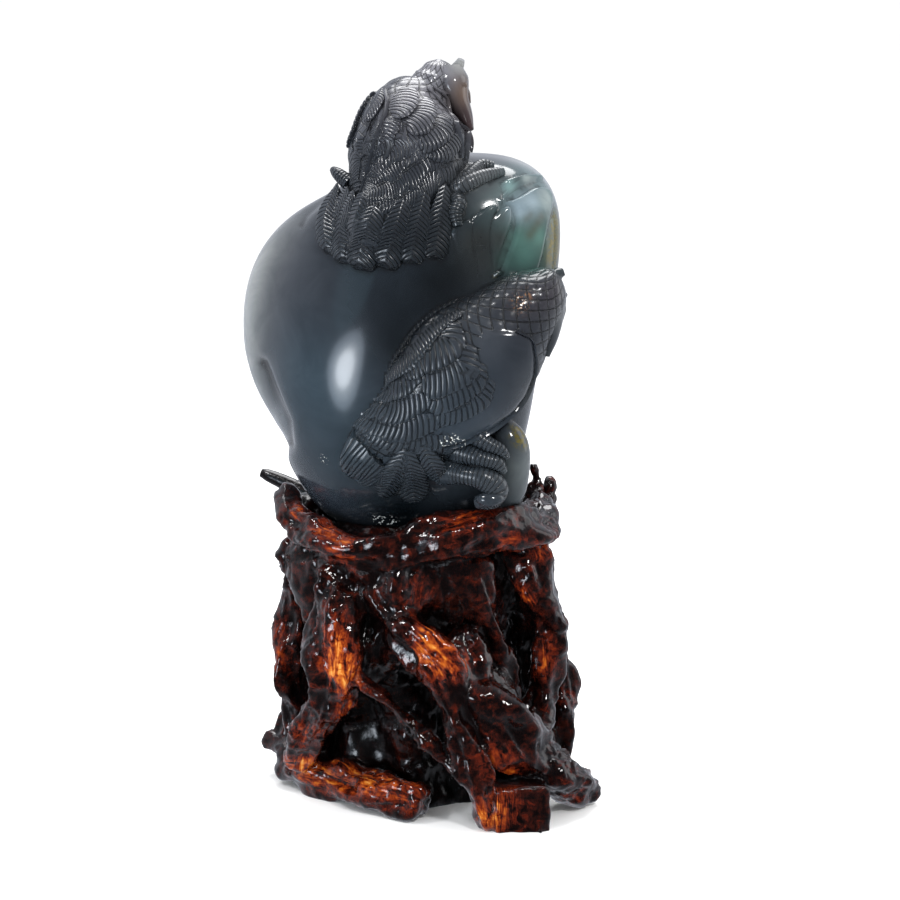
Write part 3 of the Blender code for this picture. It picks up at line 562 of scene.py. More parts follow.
def featherRings(place, rows, look):
    # Band along a quill: rows of two surface coordinates and a half width. The grid's rows lie
    # along the barbs, so the spot q down the quill and s across it sits at q + slant * w * f(s);
    # each barb is a round ridge between two grooves
    fine = smoothPath(rows, 90)
    a, b, w = fine.T
    pace, sideA, sideB = paceOn(place, a, b)
    sideA, sideB = look["hand"] * sideA, look["hand"] * sideB
    path = np.concatenate([[0.0], np.cumsum(0.5 * (pace[1:] + pace[:-1]))])
    length = path[-1]
    barbs = max(3, round(length / look["pitch"]))
    phases = np.array(look["phases"])
    q = ((np.arange(barbs)[:, None] + phases[:, None].T) / barbs * length).ravel()
    q = np.append(q, length)
    groove = np.append(np.tile(np.array(look["depths"]), barbs), look["depths"][0])
    share = q / length
    tip = 1.0 - (1.0 - look["blunt"]) * np.clip((share - 1.0 + look["tip"]) / look["tip"], 0.0, 1.0) ** 2.2
    root = 0.7 + 0.3 * smoothStep(0.0, 0.3, share)
    half = np.interp(q, path, w) * tip * root * (1.0 + 0.05 * groove)
    s = np.array(look["across"])
    if look["quill"]:
        shear = np.abs(s) ** 1.2
        slope = 1.0 - look["fall"] * np.abs(s) ** look["steep"]
    else:
        shear = 0.5 * (s + 1.0) - look["bow"] * np.cos(0.5 * math.pi * s)
        slope = look["step"] + (1.0 - look["step"]) * (0.5 * (s + 1.0)) ** 0.8
        slope = slope - 0.3 * np.clip(s, 0.0, 1.0) ** 8

    def spots(s, shear, lift):
        along = np.clip(q[:, None] + look["slant"] * half[:, None] * shear, 0.0, length)
        at = [np.interp(along, path, row) for row in (a, b, sideA, sideB)]
        return place(at[0] + at[2] * half[:, None] * s, at[1] + at[3] * half[:, None] * s, lift)

    low, rise = look["low"], look["rise"]
    up = rise * (low + (1.0 - low) * share ** 0.8)[:, None] * slope
    up = up * (1.0 - 0.35 * np.clip((share - 0.9) / 0.1, 0.0, 1.0) ** 2)[:, None]
    if look["quill"]:
        rib = np.exp(-(s * half[:, None] / 0.5) ** 2)
        up = up + groove[:, None] * look["groove"] * (1.0 - rib) + 0.28 * rib
    else:
        up = up + groove[:, None] * look["groove"]
    top = spots(s, shear, up)
    under = np.array([0.75, 0.0, -0.75])
    keel = np.interp(under, s, shear)
    bottom = spots(under, keel, np.full((len(q), 3), -look["root"]))
    phase = np.broadcast_to((share * barbs)[:, None], (len(q), len(s) + 3))
    # the root's points lie 2 across, so that the material darkens the feather's side walls with painted
    # shade
    across = np.broadcast_to(np.append(s, (2.0, 2.0, 2.0)), phase.shape)
    net = np.stack([phase, across, np.full(phase.shape, -look["dark"])], axis=-1)
    return np.concatenate([top, bottom], axis=1), net


fullAcross = (-1.0, -0.93, -0.72, -0.4, -0.12, 0.0, 0.12, 0.4, 0.72, 0.93, 1.0)
halfAcross = (-1.0, -0.55, -0.15, 0.2, 0.5, 0.75, 0.92, 1.0)
barbShape = {"phases": (0.0, 0.22, 0.5, 0.78), "depths": (-1.0, -0.15, 0.0, -0.15)}
# Feather looks: pitch of the barbs, their slant, bow and groove depth, rise of the free edge and
# the share of it at the root, depth of the root; share of the length that narrows to the tip and
# how blunt that is; how a feather falls off to its sides, and how strongly its cut lines show:
# sunk, rougher and darkened with painted shade
band = dict(barbShape, across=halfAcross, quill=False, pitch=1.35, slant=0.5, bow=0.15, groove=0.20,
            rise=1.4, low=0.55, root=2.0, tip=0.25, blunt=0.5, fall=0.35, steep=4.0, step=0.3,
            hand=1.0, dark=0.75)
covert = dict(band, pitch=1.5, slant=0.4, bow=0.5, groove=0.28, rise=2.2, low=0.6, tip=0.35, blunt=0.3,
              dark=1.0)
primary = dict(band, pitch=2.0, groove=0.30, rise=1.6, dark=0.9)
leaf = dict(band, across=fullAcross, quill=True, pitch=1.25, slant=0.9, groove=0.17, rise=1.5, blunt=0.15)
tail = dict(leaf, pitch=1.7, slant=0.5, groove=0.26, low=0.45, root=6.0, tip=0.22, blunt=0.35, fall=0.5,
            dark=0.9)
lowerLeaf = dict(tail, slant=0.8, tip=0.45, blunt=0.25)
strand = dict(band, across=(-1.0, -0.7, 0.0, 0.7, 1.0), quill=True, pitch=1.6, slant=0.0, groove=0.0,
              rise=1.5, low=0.8, tip=0.3, blunt=0.2, fall=0.9, steep=2.5, dark=0.0)

# Feathers of the near wings, drawn in the front view: each one's free edge and the width that
# shows, or its quill with half widths
upperBands = (
    (((12.6, 227.1), (9.4, 224.2), (6.5, 223.1), (1.8, 220.2), (-2.9, 217.4), (-10.2, 214.9),
      (-17.4, 213.0), (-22.3, 213.2)), 9.5),
    (((13.4, 237.4), (8.7, 232.9), (4.7, 230.0), (-0.4, 226.1), (-6.9, 222.4), (-13.7, 219.2),
      (-21.5, 217.7)), 9.0),
    (((5.0, 237.7), (0.4, 235.1), (-4.7, 231.8), (-10.2, 227.8), (-14.8, 225.7), (-20.5, 225.0)), 8.0),
    (((0.7, 240.2), (-2.9, 236.5), (-8.0, 234.0), (-13.7, 230.0), (-19.0, 226.5)), 7.5),
    (((-7.0, 246.6), (-9.4, 241.8), (-11.5, 239.1), (-14.5, 236.1), (-17.6, 233.9)), 7.0),
)
upperCoverts = (
    ((12.7, 243.4, 2.2), (10.0, 239.1, 3.0), (5.6, 236.0, 3.0), (1.2, 235.0, 2.0)),
    ((8.6, 250.2, 2.4), (6.7, 245.6, 3.7), (3.7, 242.1, 4.0), (-2.0, 239.2, 3.0)),
    ((2.0, 255.6, 2.8), (0.3, 251.0, 4.2), (-2.1, 247.2, 4.4), (-5.4, 243.8, 3.4)),
    ((-5.0, 260.0, 3.6), (-6.7, 255.6, 4.8), (-8.5, 252.1, 4.6), (-10.4, 248.9, 3.0)),
)
upperStrands = (
    ((1.2, 260.2, 0.8), (5.6, 255.9, 1.1), (9.4, 251.0, 1.2), (11.8, 245.6, 1.2), (12.9, 240.2, 1.1),
     (13.2, 234.7, 0.7)),
    ((3.4, 260.5, 0.8), (8.3, 255.9, 1.1), (12.1, 250.5, 1.1), (14.2, 244.5, 1.1), (15.1, 238.5, 1.0),
     (14.8, 233.7, 0.6)),
    ((6.1, 259.2, 0.7), (11.0, 254.3, 1.0), (14.2, 248.8, 1.0), (16.0, 242.9, 1.0), (16.4, 236.9, 0.6)),
)
upperQuill = ((-13.9, 259.6, 0.45), (-13.2, 255.9, 0.5), (-13.5, 251.0, 0.5), (-15.1, 246.7, 0.5),
              (-16.7, 241.8, 0.45), (-18.3, 235.8, 0.4), (-19.8, 229.9, 0.4), (-21.3, 225.0, 0.4),
              (-22.6, 220.6, 0.4), (-22.8, 216.3, 0.4))
upperLeaves = (
    ((-15.1, 249.4, 1.8), (-16.4, 245.6, 3.0), (-18.3, 240.7, 3.2), (-20.4, 235.2, 1.8)),
    ((-14.4, 259.6, 1.6), (-15.9, 256.4, 2.8), (-17.8, 252.6, 3.0), (-20.4, 247.9, 1.6)),
)
# Bands left of the quill, whose free edges face it
upperLeftBands = (
    (((-23.2, 243.0), (-24.6, 238.0), (-25.2, 232.0), (-24.6, 226.0)), 4.5),
    (((-20.2, 238.0), (-21.6, 232.5), (-22.6, 227.0), (-23.0, 220.5)), 5.5),
    (((-16.6, 244.0), (-18.4, 238.0), (-19.9, 232.0), (-21.4, 225.5), (-22.4, 218.5)), 5.0),
)
lowerBands = (
    (((11.2, 131.7), (7.3, 129.8), (2.2, 128.2), (-4.3, 127.3), (-10.8, 128.2), (-15.9, 129.8),
      (-21.8, 132.4)), 7.5),
    (((9.9, 137.5), (4.7, 135.5), (-1.7, 133.3), (-8.2, 131.8), (-14.6, 132.4), (-21.1, 134.3),
      (-26.9, 137.5)), 8.5),
    (((4.8, 144.4), (-3.0, 140.4), (-9.5, 138.5), (-15.9, 138.8), (-21.1, 140.4), (-25.0, 142.4)), 9.0),
    (((27.4, 154.4), (23.8, 145.9), (17.7, 141.5), (11.2, 138.7), (4.4, 138.2)), 8.5),
    (((24.0, 160.9), (23.2, 153.4), (17.7, 148.2), (11.2, 144.5), (6.0, 142.3), (0.5, 143.5)), 8.5),
    (((20.7, 167.7), (20.9, 158.2), (17.7, 154.0), (11.2, 150.3), (4.7, 148.4), (-0.5, 148.4)), 10.0),
    (((1.2, 154.3), (-1.7, 151.1), (-5.6, 148.4), (-10.1, 146.3), (-15.3, 146.7), (-21.2, 146.9)), 8.0),
    (((14.9, 177.2), (16.8, 170.5), (15.2, 165.3), (10.6, 161.3), (4.7, 158.1), (-0.4, 156.4),
      (-5.6, 152.9)), 11.5),
)
lowerHatch = (((15.4, 177.4), (7.3, 171.7), (2.2, 166.0), (-3.7, 158.9), (-9.5, 154.3), (-14.6, 149.5),
               (-19.0, 145.5)), 6.5)
lowerEdge = ((33.2, 172.1, 0.3), (39.0, 169.2, 0.4), (40.2, 163.4, 0.45), (39.7, 155.6, 0.45),
             (36.7, 148.5, 0.45), (31.9, 142.4, 0.45), (26.1, 137.5, 0.45), (19.6, 134.0, 0.4),
             (13.8, 131.4, 0.4), (7.3, 129.8, 0.3))
# The far wings: shares along the body and angles round it, in radians
upperFarBands = (
    (((0.44, -2.20), (0.34, -1.95), (0.22, -1.70), (0.12, -1.60)), 7.5),
    (((0.48, -1.80), (0.38, -1.62), (0.26, -1.42), (0.14, -1.30)), 7.0),
    (((0.50, -1.40), (0.40, -1.22), (0.28, -1.10), (0.18, -1.00)), 6.5),
)
upperFarCoverts = (
    ((0.62, -1.40, 3.0), (0.54, -1.45, 4.6), (0.42, -1.50, 4.2)),
    ((0.60, -0.98, 2.6), (0.52, -1.06, 4.0), (0.42, -1.15, 3.6)),
)
lowerBackBands = (
    (((0.60, -0.40), (0.52, -0.38), (0.44, -0.36), (0.34, -0.36), (0.25, -0.30)), 8.0),
    (((0.60, 0.10), (0.52, 0.08), (0.44, 0.08), (0.34, 0.06), (0.25, 0.05)), 8.0),
)
# Tail feathers, drawn in the front view with half widths, and how far they stand off
upperTail = (
    (((-27.6, 224.0, 3.4), (-32.4, 211.5, 4.6), (-31.8, 200.5, 4.2)), 1.0),
    (((-21.5, 222.0, 3.4), (-25.2, 210.0, 4.6), (-25.8, 199.0, 4.2)), 1.6),
    (((-31.0, 225.0, 2.6), (-35.4, 213.0, 3.8), (-34.6, 201.5, 3.8)), 1.8),
    (((-25.4, 222.0, 3.0), (-29.6, 209.5, 4.4), (-28.8, 197.6, 4.6)), 2.4),
    (((7.4, 224.5, 3.2), (5.6, 212.0, 4.2), (3.5, 198.2, 4.3)), 2.0),
    (((0.2, 221.5, 3.5), (-2.7, 208.7, 4.3), (-4.7, 196.4, 4.4)), 2.5),
    (((-7.4, 219.0, 4.2), (-10.7, 206.0, 4.9), (-13.9, 195.2, 5.0)), 3.0),
    (((-17.4, 216.6, 5.0), (-20.5, 206.0, 5.7), (-22.7, 194.8, 5.3)), 3.6),
)
lowerTail = (
    (((-1.0, 131.0, 3.0), (2.8, 124.0, 4.4), (7.2, 117.6, 3.4)), 1.8),
    (((-6.0, 129.5, 3.6), (-4.6, 120.5, 5.6), (-3.6, 111.4, 5.0)), 2.2),
    (((-6.6, 130.0, 3.4), (-10.4, 121.8, 5.0), (-15.0, 113.6, 4.2)), 2.6),
)
lowerTailEdge = (((-31.8, 128.8), (-29.8, 124.4), (-25.6, 119.6), (-19.4, 115.2)), 13.0)
# Ground under the tail feathers, in the front view, and how far it lies below their roots
tailGrounds = (((-25.0, 199.0), (6.0, 213.0), 0.6), ((-15.0, 117.0), (3.0, 126.0), 0.8))
# Smooth forms of the stone at the right of the upper tail, on a patch between two corners of the
# front view: its cells' size, how deep its border and its root lie and how far it ends inside the
# boulder's outline, then the outlines, how far each form stands out at the top and at the foot,
# and how wide its rounded edge is
stoneForms = {
    "area": ((6.5, 186.0), (51.0, 231.5)), "cell": 0.38, "sunk": 1.2, "root": 4.0, "inset": 0.8,
    "outlines": (
        (((9.3, 207.2), (10.7, 203.6), (12.5, 196.5), (14.0, 191.1), (11.5, 190.0), (9.0, 196.5),
          (8.2, 203.6)), 0.6, 0.3, 1.6),
        (((14.3, 192.9), (12.9, 198.3), (11.1, 203.6), (9.9, 207.9), (12.9, 211.4), (16.8, 212.4),
          (18.5, 209.0), (18.3, 204.3), (19.0, 199.3), (19.8, 194.3), (17.2, 191.2)), 1.1, 0.4, 2.0),
        (((19.3, 193.8), (17.5, 199.3), (16.3, 204.3), (16.3, 208.6), (17.2, 212.2), (19.0, 214.7),
          (22.2, 216.9), (25.1, 217.9), (26.8, 216.5), (25.6, 213.6), (24.7, 209.0), (24.6, 203.6),
          (24.8, 199.0), (24.9, 194.0), (22.2, 191.5)), 2.0, 0.6, 2.4),
        (((25.4, 193.3), (23.6, 199.0), (22.6, 203.6), (22.6, 207.2), (23.3, 210.8), (25.1, 214.0),
          (27.2, 216.1), (29.0, 216.9), (30.8, 216.3), (31.7, 214.4), (31.6, 211.1), (30.4, 207.6),
          (29.0, 204.0), (27.4, 199.7)), 3.0, 1.2, 2.6),
        (((28.8, 218.6), (32.9, 219.9), (36.5, 221.9), (40.1, 223.9), (44.4, 223.7), (46.4, 221.5),
          (46.8, 219.4), (46.4, 216.5), (45.2, 210.8), (43.6, 203.6), (42.2, 197.5), (39.7, 191.4),
          (35.4, 190.3), (29.4, 190.2), (27.9, 193.6), (29.6, 199.0), (31.8, 205.1), (33.0, 210.8),
          (32.3, 214.7)), 1.6, 1.5, 1.6),
        (((27.2, 218.7), (28.5, 221.5), (27.7, 225.3), (30.8, 227.1), (34.4, 228.1), (37.9, 228.7),
          (41.9, 229.0), (43.3, 228.1), (44.0, 227.1), (43.5, 226.0), (40.8, 225.6), (37.9, 224.9),
          (34.4, 223.3), (31.5, 221.5), (29.0, 219.4)), 2.8, 2.8, 2.2),
        (((24.9, 192.5), (26.1, 193.6), (28.8, 192.7), (27.2, 191.6), (25.2, 191.1)), 2.2, 2.2, 1.2),
    ),
    # grooves in them: depth, width, line
    "grooves": ((1.0, 0.7, ((29.4, 222.2), (32.9, 225.1), (37.9, 226.9), (43.6, 227.9))),
                (1.0, 0.7, ((28.6, 220.1), (32.9, 223.3), (37.9, 225.6), (43.6, 226.8))),
                (0.5, 0.8, ((27.3, 215.2), (25.1, 211.4), (24.2, 206.5), (24.6, 200.2))),
                (0.4, 0.8, ((20.9, 215.2), (18.6, 211.4), (17.8, 206.5), (18.6, 199.2)))),
}
# Toes, with the last toe's claw and the knobbly stone beside it
upperToes = (
    {"spine": ((9.0, -13.0, 132.0, 3.4, 3.4), (15.4, -17.6, 136.0, 2.7, 2.7),
               (20.2, -13.8, 139.8, 2.3, 2.3), (24.6, -12.8, 139.6, 1.7, 1.7)), "back": (0.0, -0.5, 0.86)},
    {"spine": ((8.0, -17.0, 129.5, 4.0, 4.0), (14.0, -22.2, 134.0, 3.0, 3.0),
               (20.6, -20.0, 136.7, 2.6, 2.6), (27.8, -15.4, 138.0, 1.8, 1.8)), "back": (0.0, -0.6, 0.8)},
    {"spine": ((9.5, -19.0, 129.5, 3.6, 3.6), (12.4, -25.2, 128.4, 2.8, 2.8),
               (11.4, -27.4, 125.0, 2.5, 2.5), (12.2, -28.6, 120.6, 1.8, 1.8)), "back": (0.0, -0.85, 0.5)},
    {"spine": ((-26.0, -10.0, 133.0, 3.0, 3.0), (-30.0, -7.0, 136.0, 2.3, 2.3),
               (-32.0, -3.5, 137.2, 1.3, 1.3)), "back": (0.0, 0.0, 1.0)},
)
lowerToes = (
    {"spine": ((15.0, -33.0, 50.0, 5.0, 5.0), (21.0, -37.0, 46.0, 3.0, 3.0),
               (27.0, -37.5, 43.0, 2.2, 2.2), (29.5, -36.0, 40.0, 1.2, 1.2)), "back": (0.0, -1.0, 0.0)},
    {"spine": ((12.0, -33.0, 42.0, 5.5, 5.0), (19.0, -38.0, 40.5, 3.0, 3.0),
               (25.5, -38.5, 38.5, 2.6, 2.4), (28.5, -37.0, 35.0, 1.3, 1.3)), "back": (0.0, -1.0, 0.0)},
    {"spine": ((8.0, -33.0, 34.5, 5.0, 4.2), (15.0, -38.0, 34.0, 3.4, 3.2), (21.0, -39.5, 33.0, 4.2, 3.8),
               (25.5, -38.8, 29.5, 4.4, 4.0), (23.5, -37.0, 25.0, 3.6, 3.4),
               (18.5, -35.5, 23.6, 2.0, 2.0)), "back": (0.0, -1.0, 0.0)},
)
lowerClaw = {"spine": ((18.4, -40.0, 26.6, 0.6, 0.6), (20.4, -41.2, 26.2, 2.0, 2.0),
                       (23.2, -41.8, 26.0, 2.6, 2.4), (26.2, -41.2, 26.4, 2.0, 2.0),
                       (28.0, -40.0, 27.0, 0.6, 0.6)), "back": (0.0, -1.0, 0.0)}
knobblyStone = {"spine": ((24.0, -24.0, 52.0, 4.0, 4.0), (30.5, -27.0, 44.0, 6.0, 6.5),
                          (31.5, -25.0, 34.0, 6.2, 6.6), (30.0, -22.0, 23.0, 5.6, 5.6),
                          (26.0, -18.0, 14.0, 4.0, 4.0)), "back": (0.0, -1.0, 0.0)}
# Faces: the disc, which narrows to a point below, the ear tuft, the two eyes and the beak
upperFace = (
    {"spine": ((9.5, 5.0, 173.4, 4.0, 4.0), (10.0, 4.5, 168.0, 7.4, 6.0),
               (12.0, 3.5, 161.0, 6.8, 4.4), (14.8, 1.5, 155.5, 4.0, 2.8),
               (17.0, -1.0, 151.0, 0.9, 0.9)), "back": (1.0, 0.0, 0.2)},
    {"spine": ((10.5, 5.0, 170.5, 2.8, 2.4), (12.4, 4.7, 173.2, 2.2, 2.0),
               (13.4, 4.4, 175.4, 1.9, 1.2)), "back": (0.0, 0.0, 1.0)},
    {"spine": ((12.8, 0.6, 165.2, 0.5, 0.5), (13.6, 0.6, 167.0, 2.0, 2.2),
               (13.8, 0.6, 168.8, 0.5, 0.5)), "back": (1.0, 0.0, 0.0)},
    {"spine": ((12.8, 8.2, 165.2, 0.5, 0.5), (13.6, 8.2, 167.0, 2.0, 2.2),
               (13.8, 8.2, 168.8, 0.5, 0.5)), "back": (1.0, 0.0, 0.0)},
    {"spine": ((13.4, 4.2, 166.0, 1.2, 1.4), (14.8, 3.9, 163.4, 1.5, 1.8),
               (16.4, 3.4, 160.0, 0.4, 0.5)), "back": (1.0, 0.0, 0.0)},
)
lowerFace = (
    {"spine": ((45.0, -28.0, 103.6, 4.0, 2.4), (46.0, -28.0, 96.5, 7.4, 4.0),
               (45.2, -28.8, 89.0, 6.6, 4.0), (44.4, -30.0, 81.5, 3.6, 2.8),
               (43.4, -31.5, 75.0, 0.8, 0.8)), "back": (1.0, 0.0, -0.2)},
    {"spine": ((44.0, -28.5, 101.0, 3.5, 3.5), (47.0, -28.0, 103.6, 2.6, 2.4),
               (49.2, -28.0, 104.4, 1.2, 1.2)), "back": (0.0, 0.0, 1.0)},
    {"spine": ((47.4, -31.4, 94.0, 0.5, 0.5), (47.6, -31.4, 95.8, 2.0, 2.0),
               (47.6, -31.4, 97.6, 0.5, 0.5)), "back": (1.0, 0.0, 0.0)},
    {"spine": ((48.0, -24.4, 94.0, 0.5, 0.5), (48.4, -24.4, 95.8, 2.0, 2.2),
               (48.4, -24.4, 97.6, 0.5, 0.5)), "back": (1.0, 0.0, 0.0)},
    {"spine": ((47.6, -28.4, 94.6, 1.2, 1.4), (48.4, -28.8, 91.6, 1.5, 1.6),
               (48.6, -29.4, 87.8, 0.4, 0.5)), "back": (1.0, 0.0, 0.0)},
)


def stoneRelief(spots):
    # Height of the smooth forms: rise * sin(pi d / 2) over the width of a form's edge, falling on
    # outside its outline at the edge's own slope; the highest form counts
    low, high = np.array(stoneForms["area"])[:, 1]
    height = np.full(spots.shape[:-1], -stoneForms["sunk"])
    for outline, top, foot, edge in stoneForms["outlines"]:
        ring = smoothPath(outline + outline[:1], 8 * len(outline))
        away = fromLine(spots, ring)
        span = np.array(outline)[:, 1]
        rise = foot + (top - foot) * smoothStep(span.min(), span.max(), spots[..., 1])
        dome = rise * np.sin(0.5 * math.pi * np.clip(away / edge, 0.0, 1.0))
        skirt = -0.5 * math.pi * rise * away / edge
        height = np.maximum(height, np.where(insideOutline(spots, ring), dome, skirt))
    for depth, width, line in stoneForms["grooves"]:
        height = height - depth * np.exp(-(fromLine(spots, smoothPath(line, 30)) / width) ** 2)
    height = np.maximum(height, -stoneForms["sunk"])
    border = np.minimum(spots[..., 1] - low, high - spots[..., 1])
    return np.minimum(height, border * 2.0 - stoneForms["sunk"])


def reliefRings():
    # Rows of the patch across the front view, its relief on top and its root in the boulder
    (left, low), (right, high) = stoneForms["area"]
    up = np.linspace(low, high, round((high - low) / stoneForms["cell"]))[:, None]
    share = np.linspace(0.0, 1.0, round((right - left) / stoneForms["cell"]))[None, :]
    # the boulder's own outline at the right, where lines of sight begin to pass it by
    tried = np.linspace(left, right, 400)[None, :]
    met = onBoulder(tried, up)[..., 1] < boulder["centre"][1] - 2.0
    last = np.array([tried[0, row][-1] if row.any() else left + 1.0 for row in met])
    right = last[:, None] - stoneForms["inset"]
    spots = np.stack(np.broadcast_arrays(left + (right - left) * share, up), axis=-1)
    top = onBoulder(spots[..., 0], spots[..., 1], stoneRelief(spots))
    under = right + (left - right) * np.linspace(0.0, 1.0, 14)[None, 1:-1]
    bottom = onBoulder(under, up, -stoneForms["root"])
    return np.concatenate([top, bottom], axis=1)


def groundRings(low, high, depth, root=4.0):
    # Slab along the near side of the stone between two corners of the front view
    across = np.linspace(low[0], high[0], 40)[None, :]
    up = np.linspace(low[1], high[1], 24)[:, None]
    return np.concatenate([onStone(across, up, -depth), onBoulder(across[:, ::-1], up, -root)], axis=1)


def onOwl(owl):
    return lambda along, around, lift: skin(owl, along, around, lift)


def buildCarving():
    shapes = newGroup("carved_forms")
    stone = closedSurface("owl_carving", toStone(boulderRings(boulder["rows"], boulder["columns"])),
                          bpy.context.scene.collection)
    count = [triangleCount(stone.data)]

    def add(name, rings, net=None):
        count.append(triangleCount(closedSurface(name, toStone(rings), shapes, net).data))

    def addFeathers(name, place, look, *quills):
        for rows in quills:
            add(name, *featherRings(place, rows, look))

    def addBands(place, look, edges):
        for edge, width in edges:
            addFeathers("band", place, look, inwardBand(place, edge, width, look["hand"]))

    def onWing(owl, edges):
        return [(sketched(owl, edge), width) for edge, width in edges]

    for owl in (upperOwl, lowerOwl):
        add("body", *owlRings(owl))
    upper, lower = onOwl(upperOwl), onOwl(lowerOwl)
    addBands(upper, dict(band, pitch=1.9, hand=-1.0), upperFarBands)
    addBands(lower, dict(band, pitch=1.9), lowerBackBands)
    addBands(upper, band, onWing(upperOwl, upperBands))
    addFeathers("covert", upper, covert, *(sketched(upperOwl, rows) for rows in upperCoverts))
    addBands(lower, primary, onWing(lowerOwl, lowerBands))
    addBands(lower, dict(band, pitch=1.5, rise=1.9), onWing(lowerOwl, (lowerHatch,)))
    addFeathers("edge", lower, dict(strand, rise=1.3), sketched(lowerOwl, lowerEdge))
    add("relief", reliefRings())
    addFeathers("covert", upper, dict(covert, pitch=1.9), *upperFarCoverts)
    addBands(upper, dict(band, hand=-1.0, pitch=1.2), onWing(upperOwl, upperLeftBands))
    addFeathers("leaf", upper, leaf, *(sketched(upperOwl, rows) for rows in upperLeaves))
    addFeathers("strand", upper, strand, *(sketched(upperOwl, rows) for rows in upperStrands))
    addFeathers("quill", upper, dict(strand, rise=2.0), sketched(upperOwl, upperQuill))
    for rows, rise in upperTail:
        addFeathers("tail", onStone, dict(tail, rise=rise), rows)
    for low, high, depth in tailGrounds:
        add("ground", groundRings(low, high, depth))
    addBands(onStone, dict(primary, pitch=1.8, rise=2.6, root=5.0), (lowerTailEdge,))
    for rows, rise in lowerTail:
        addFeathers("tail", onStone, dict(lowerLeaf, rise=rise), rows)
    for toe in upperToes:
        add("toe", *limbRings(toe, rows=56, columns=18, ring=0.20, pitch=1.2))
    for toe in lowerToes:
        add("toe", *limbRings(toe, rows=72, columns=22, ring=0.18, pitch=1.3))
    add("claw", *limbRings(lowerClaw, rows=24, columns=24))
    add("knobs", *limbRings(knobblyStone, rows=40, columns=28))
    for form in upperFace + lowerFace:
        add("face", *limbRings(form, rows=24, columns=24))
    print("triangles before the union:", sum(count))
    uniteGroup(stone, shapes)
    print("triangles of the carving:", triangleCount(stone.data))
    stone.data.shade_smooth()
    stone.data.set_sharp_from_angle(angle=math.radians(42))
    return stone


carving = buildCarving()
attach(carving, "root")
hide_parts("agate_carving")


print("stage: root stand")
# Trunk: the same kind of rows as the owls' spines
trunk = {
    "spine": ((-2.0, 6.0, -6.0, 34.0, 26.0), (-2.0, 6.0, 14.0, 30.0, 23.0), (-4.0, 5.0, 40.0, 28.0, 22.0),
              (-6.0, 3.0, 62.0, 33.0, 26.0), (-6.0, 0.0, 80.0, 40.0, 32.0), (-5.0, -1.0, 92.0, 42.0, 34.0),
              (-4.0, -1.0, 102.0, 38.0, 31.0), (-4.0, -1.0, 106.0, 30.0, 24.0)),
    "back": (0.0, -1.0, 0.0),
    "flutes": 7, "fluteDepth": 2.2,
}
# Roots: rows of x, y, z and radius
roots = (
    ((-38, 8, 94, 7.0), (-42, 12, 72, 6.4), (-40, 14, 46, 7.0), (-40, 12, 20, 6.6),
     (-43, 10, 0, 6.0)),
    ((33, 0, 94, 8.0), (37, 2, 70, 7.0), (40, 5, 46, 7.0), (39, 6, 22, 7.4), (38, 6, 0, 7.0)),
    ((-6, -24, 96, 9.0), (-8, -30, 84, 9.5), (-11, -29, 70, 8.5), (-18, -22, 50, 6.0)),
    ((14, -24, 94, 9.0), (20, -26, 80, 8.0), (24, -22, 60, 7.0), (26, -24, 36, 8.0)),
    ((-43, 4, 92, 5.0), (-45, 4, 81, 5.6), (-48, 4, 67, 5.8), (-50, 4, 54, 5.4),
     (-48, 5, 37, 6.2), (-46, 4, 25, 4.8), (-45, 1, 10, 5.0)),
    ((-27, -24, 94, 8.0), (-30, -28, 77, 9.4), (-31, -30, 62, 10.5), (-33, -28, 47, 8.7),
     (-40, -20, 30, 6.5), (-48, -6, 15, 5.6)),
    ((-14, -30, 86, 8.0), (-12, -34, 79, 6.5), (-3, -40, 70, 7.5), (6, -43, 59, 7.0),
     (11, -44, 46, 5.6), (16, -45, 29, 5.2), (22, -44, 12, 5.0), (25, -43, 0, 4.5)),
    ((-27, -34, 57, 3.2), (-14, -38, 47, 2.8), (1, -42, 33, 2.8), (13, -44, 20, 3.0)),
    ((36, -14, 98, 8.0), (38, -16, 86, 7.0), (44, -14, 71, 6.8), (45, -12, 54, 6.0),
     (42, -14, 37, 6.0), (37, -22, 26, 7.0)),
    ((10, -28, 66, 8.0), (17, -36, 51, 9.0), (27, -37, 40, 11.0), (35, -33, 27, 9.6),
     (46, -26, 16, 7.4), (57, -18, 7, 6.2), (63.2, -14, 5, 4.8)),
    ((38, 2, 88, 7.0), (43, 7, 72, 5.4), (45, 9, 62, 4.8), (48, 12, 47, 5.0),
     (50, 14, 33, 6.2), (49, 12, 18, 5.4), (44, 8, 2, 6.0)),
    ((-52, 14, 7, 5.5), (-43, 2, 8, 6.5), (-27, -14, 7, 6.9), (-10, -28, 7, 6.5),
     (0, -36, 7, 5.8)),
    ((-59, 24, 11, 3.2), (-53, 18, 11, 3.2), (-44, 10, 13, 4.4)),
    ((-30, 20, 94, 9.0), (-37, 30, 70, 7.4), (-35, 37, 42, 7.0), (-38, 40, 16, 6.4),
     (-40, 41, 0, 6.0)),
    ((4, 26, 94, 11.0), (7, 36, 68, 9.0), (2, 40, 38, 8.0), (6, 42, 6, 7.4)),
    ((30, 22, 90, 9.0), (34, 30, 64, 7.2), (28, 37, 38, 7.0), (35, 39, 12, 6.4),
     (37, 40, 0, 6.0)),
    ((-24, 34, 60, 4.4), (-6, 41, 45, 4.4), (14, 41, 26, 4.6), (30, 40, 8, 5.4)),
    ((-16, 36, 5, 6.0), (0, 43, 6, 6.8), (18, 43, 6, 6.2), (32, 40, 5, 5.4)),
    ((-42, 24, 40, 4.6), (-48, 22, 26, 5.0), (-50, 24, 10, 5.4), (-52, 28, 0, 5.0)),
)
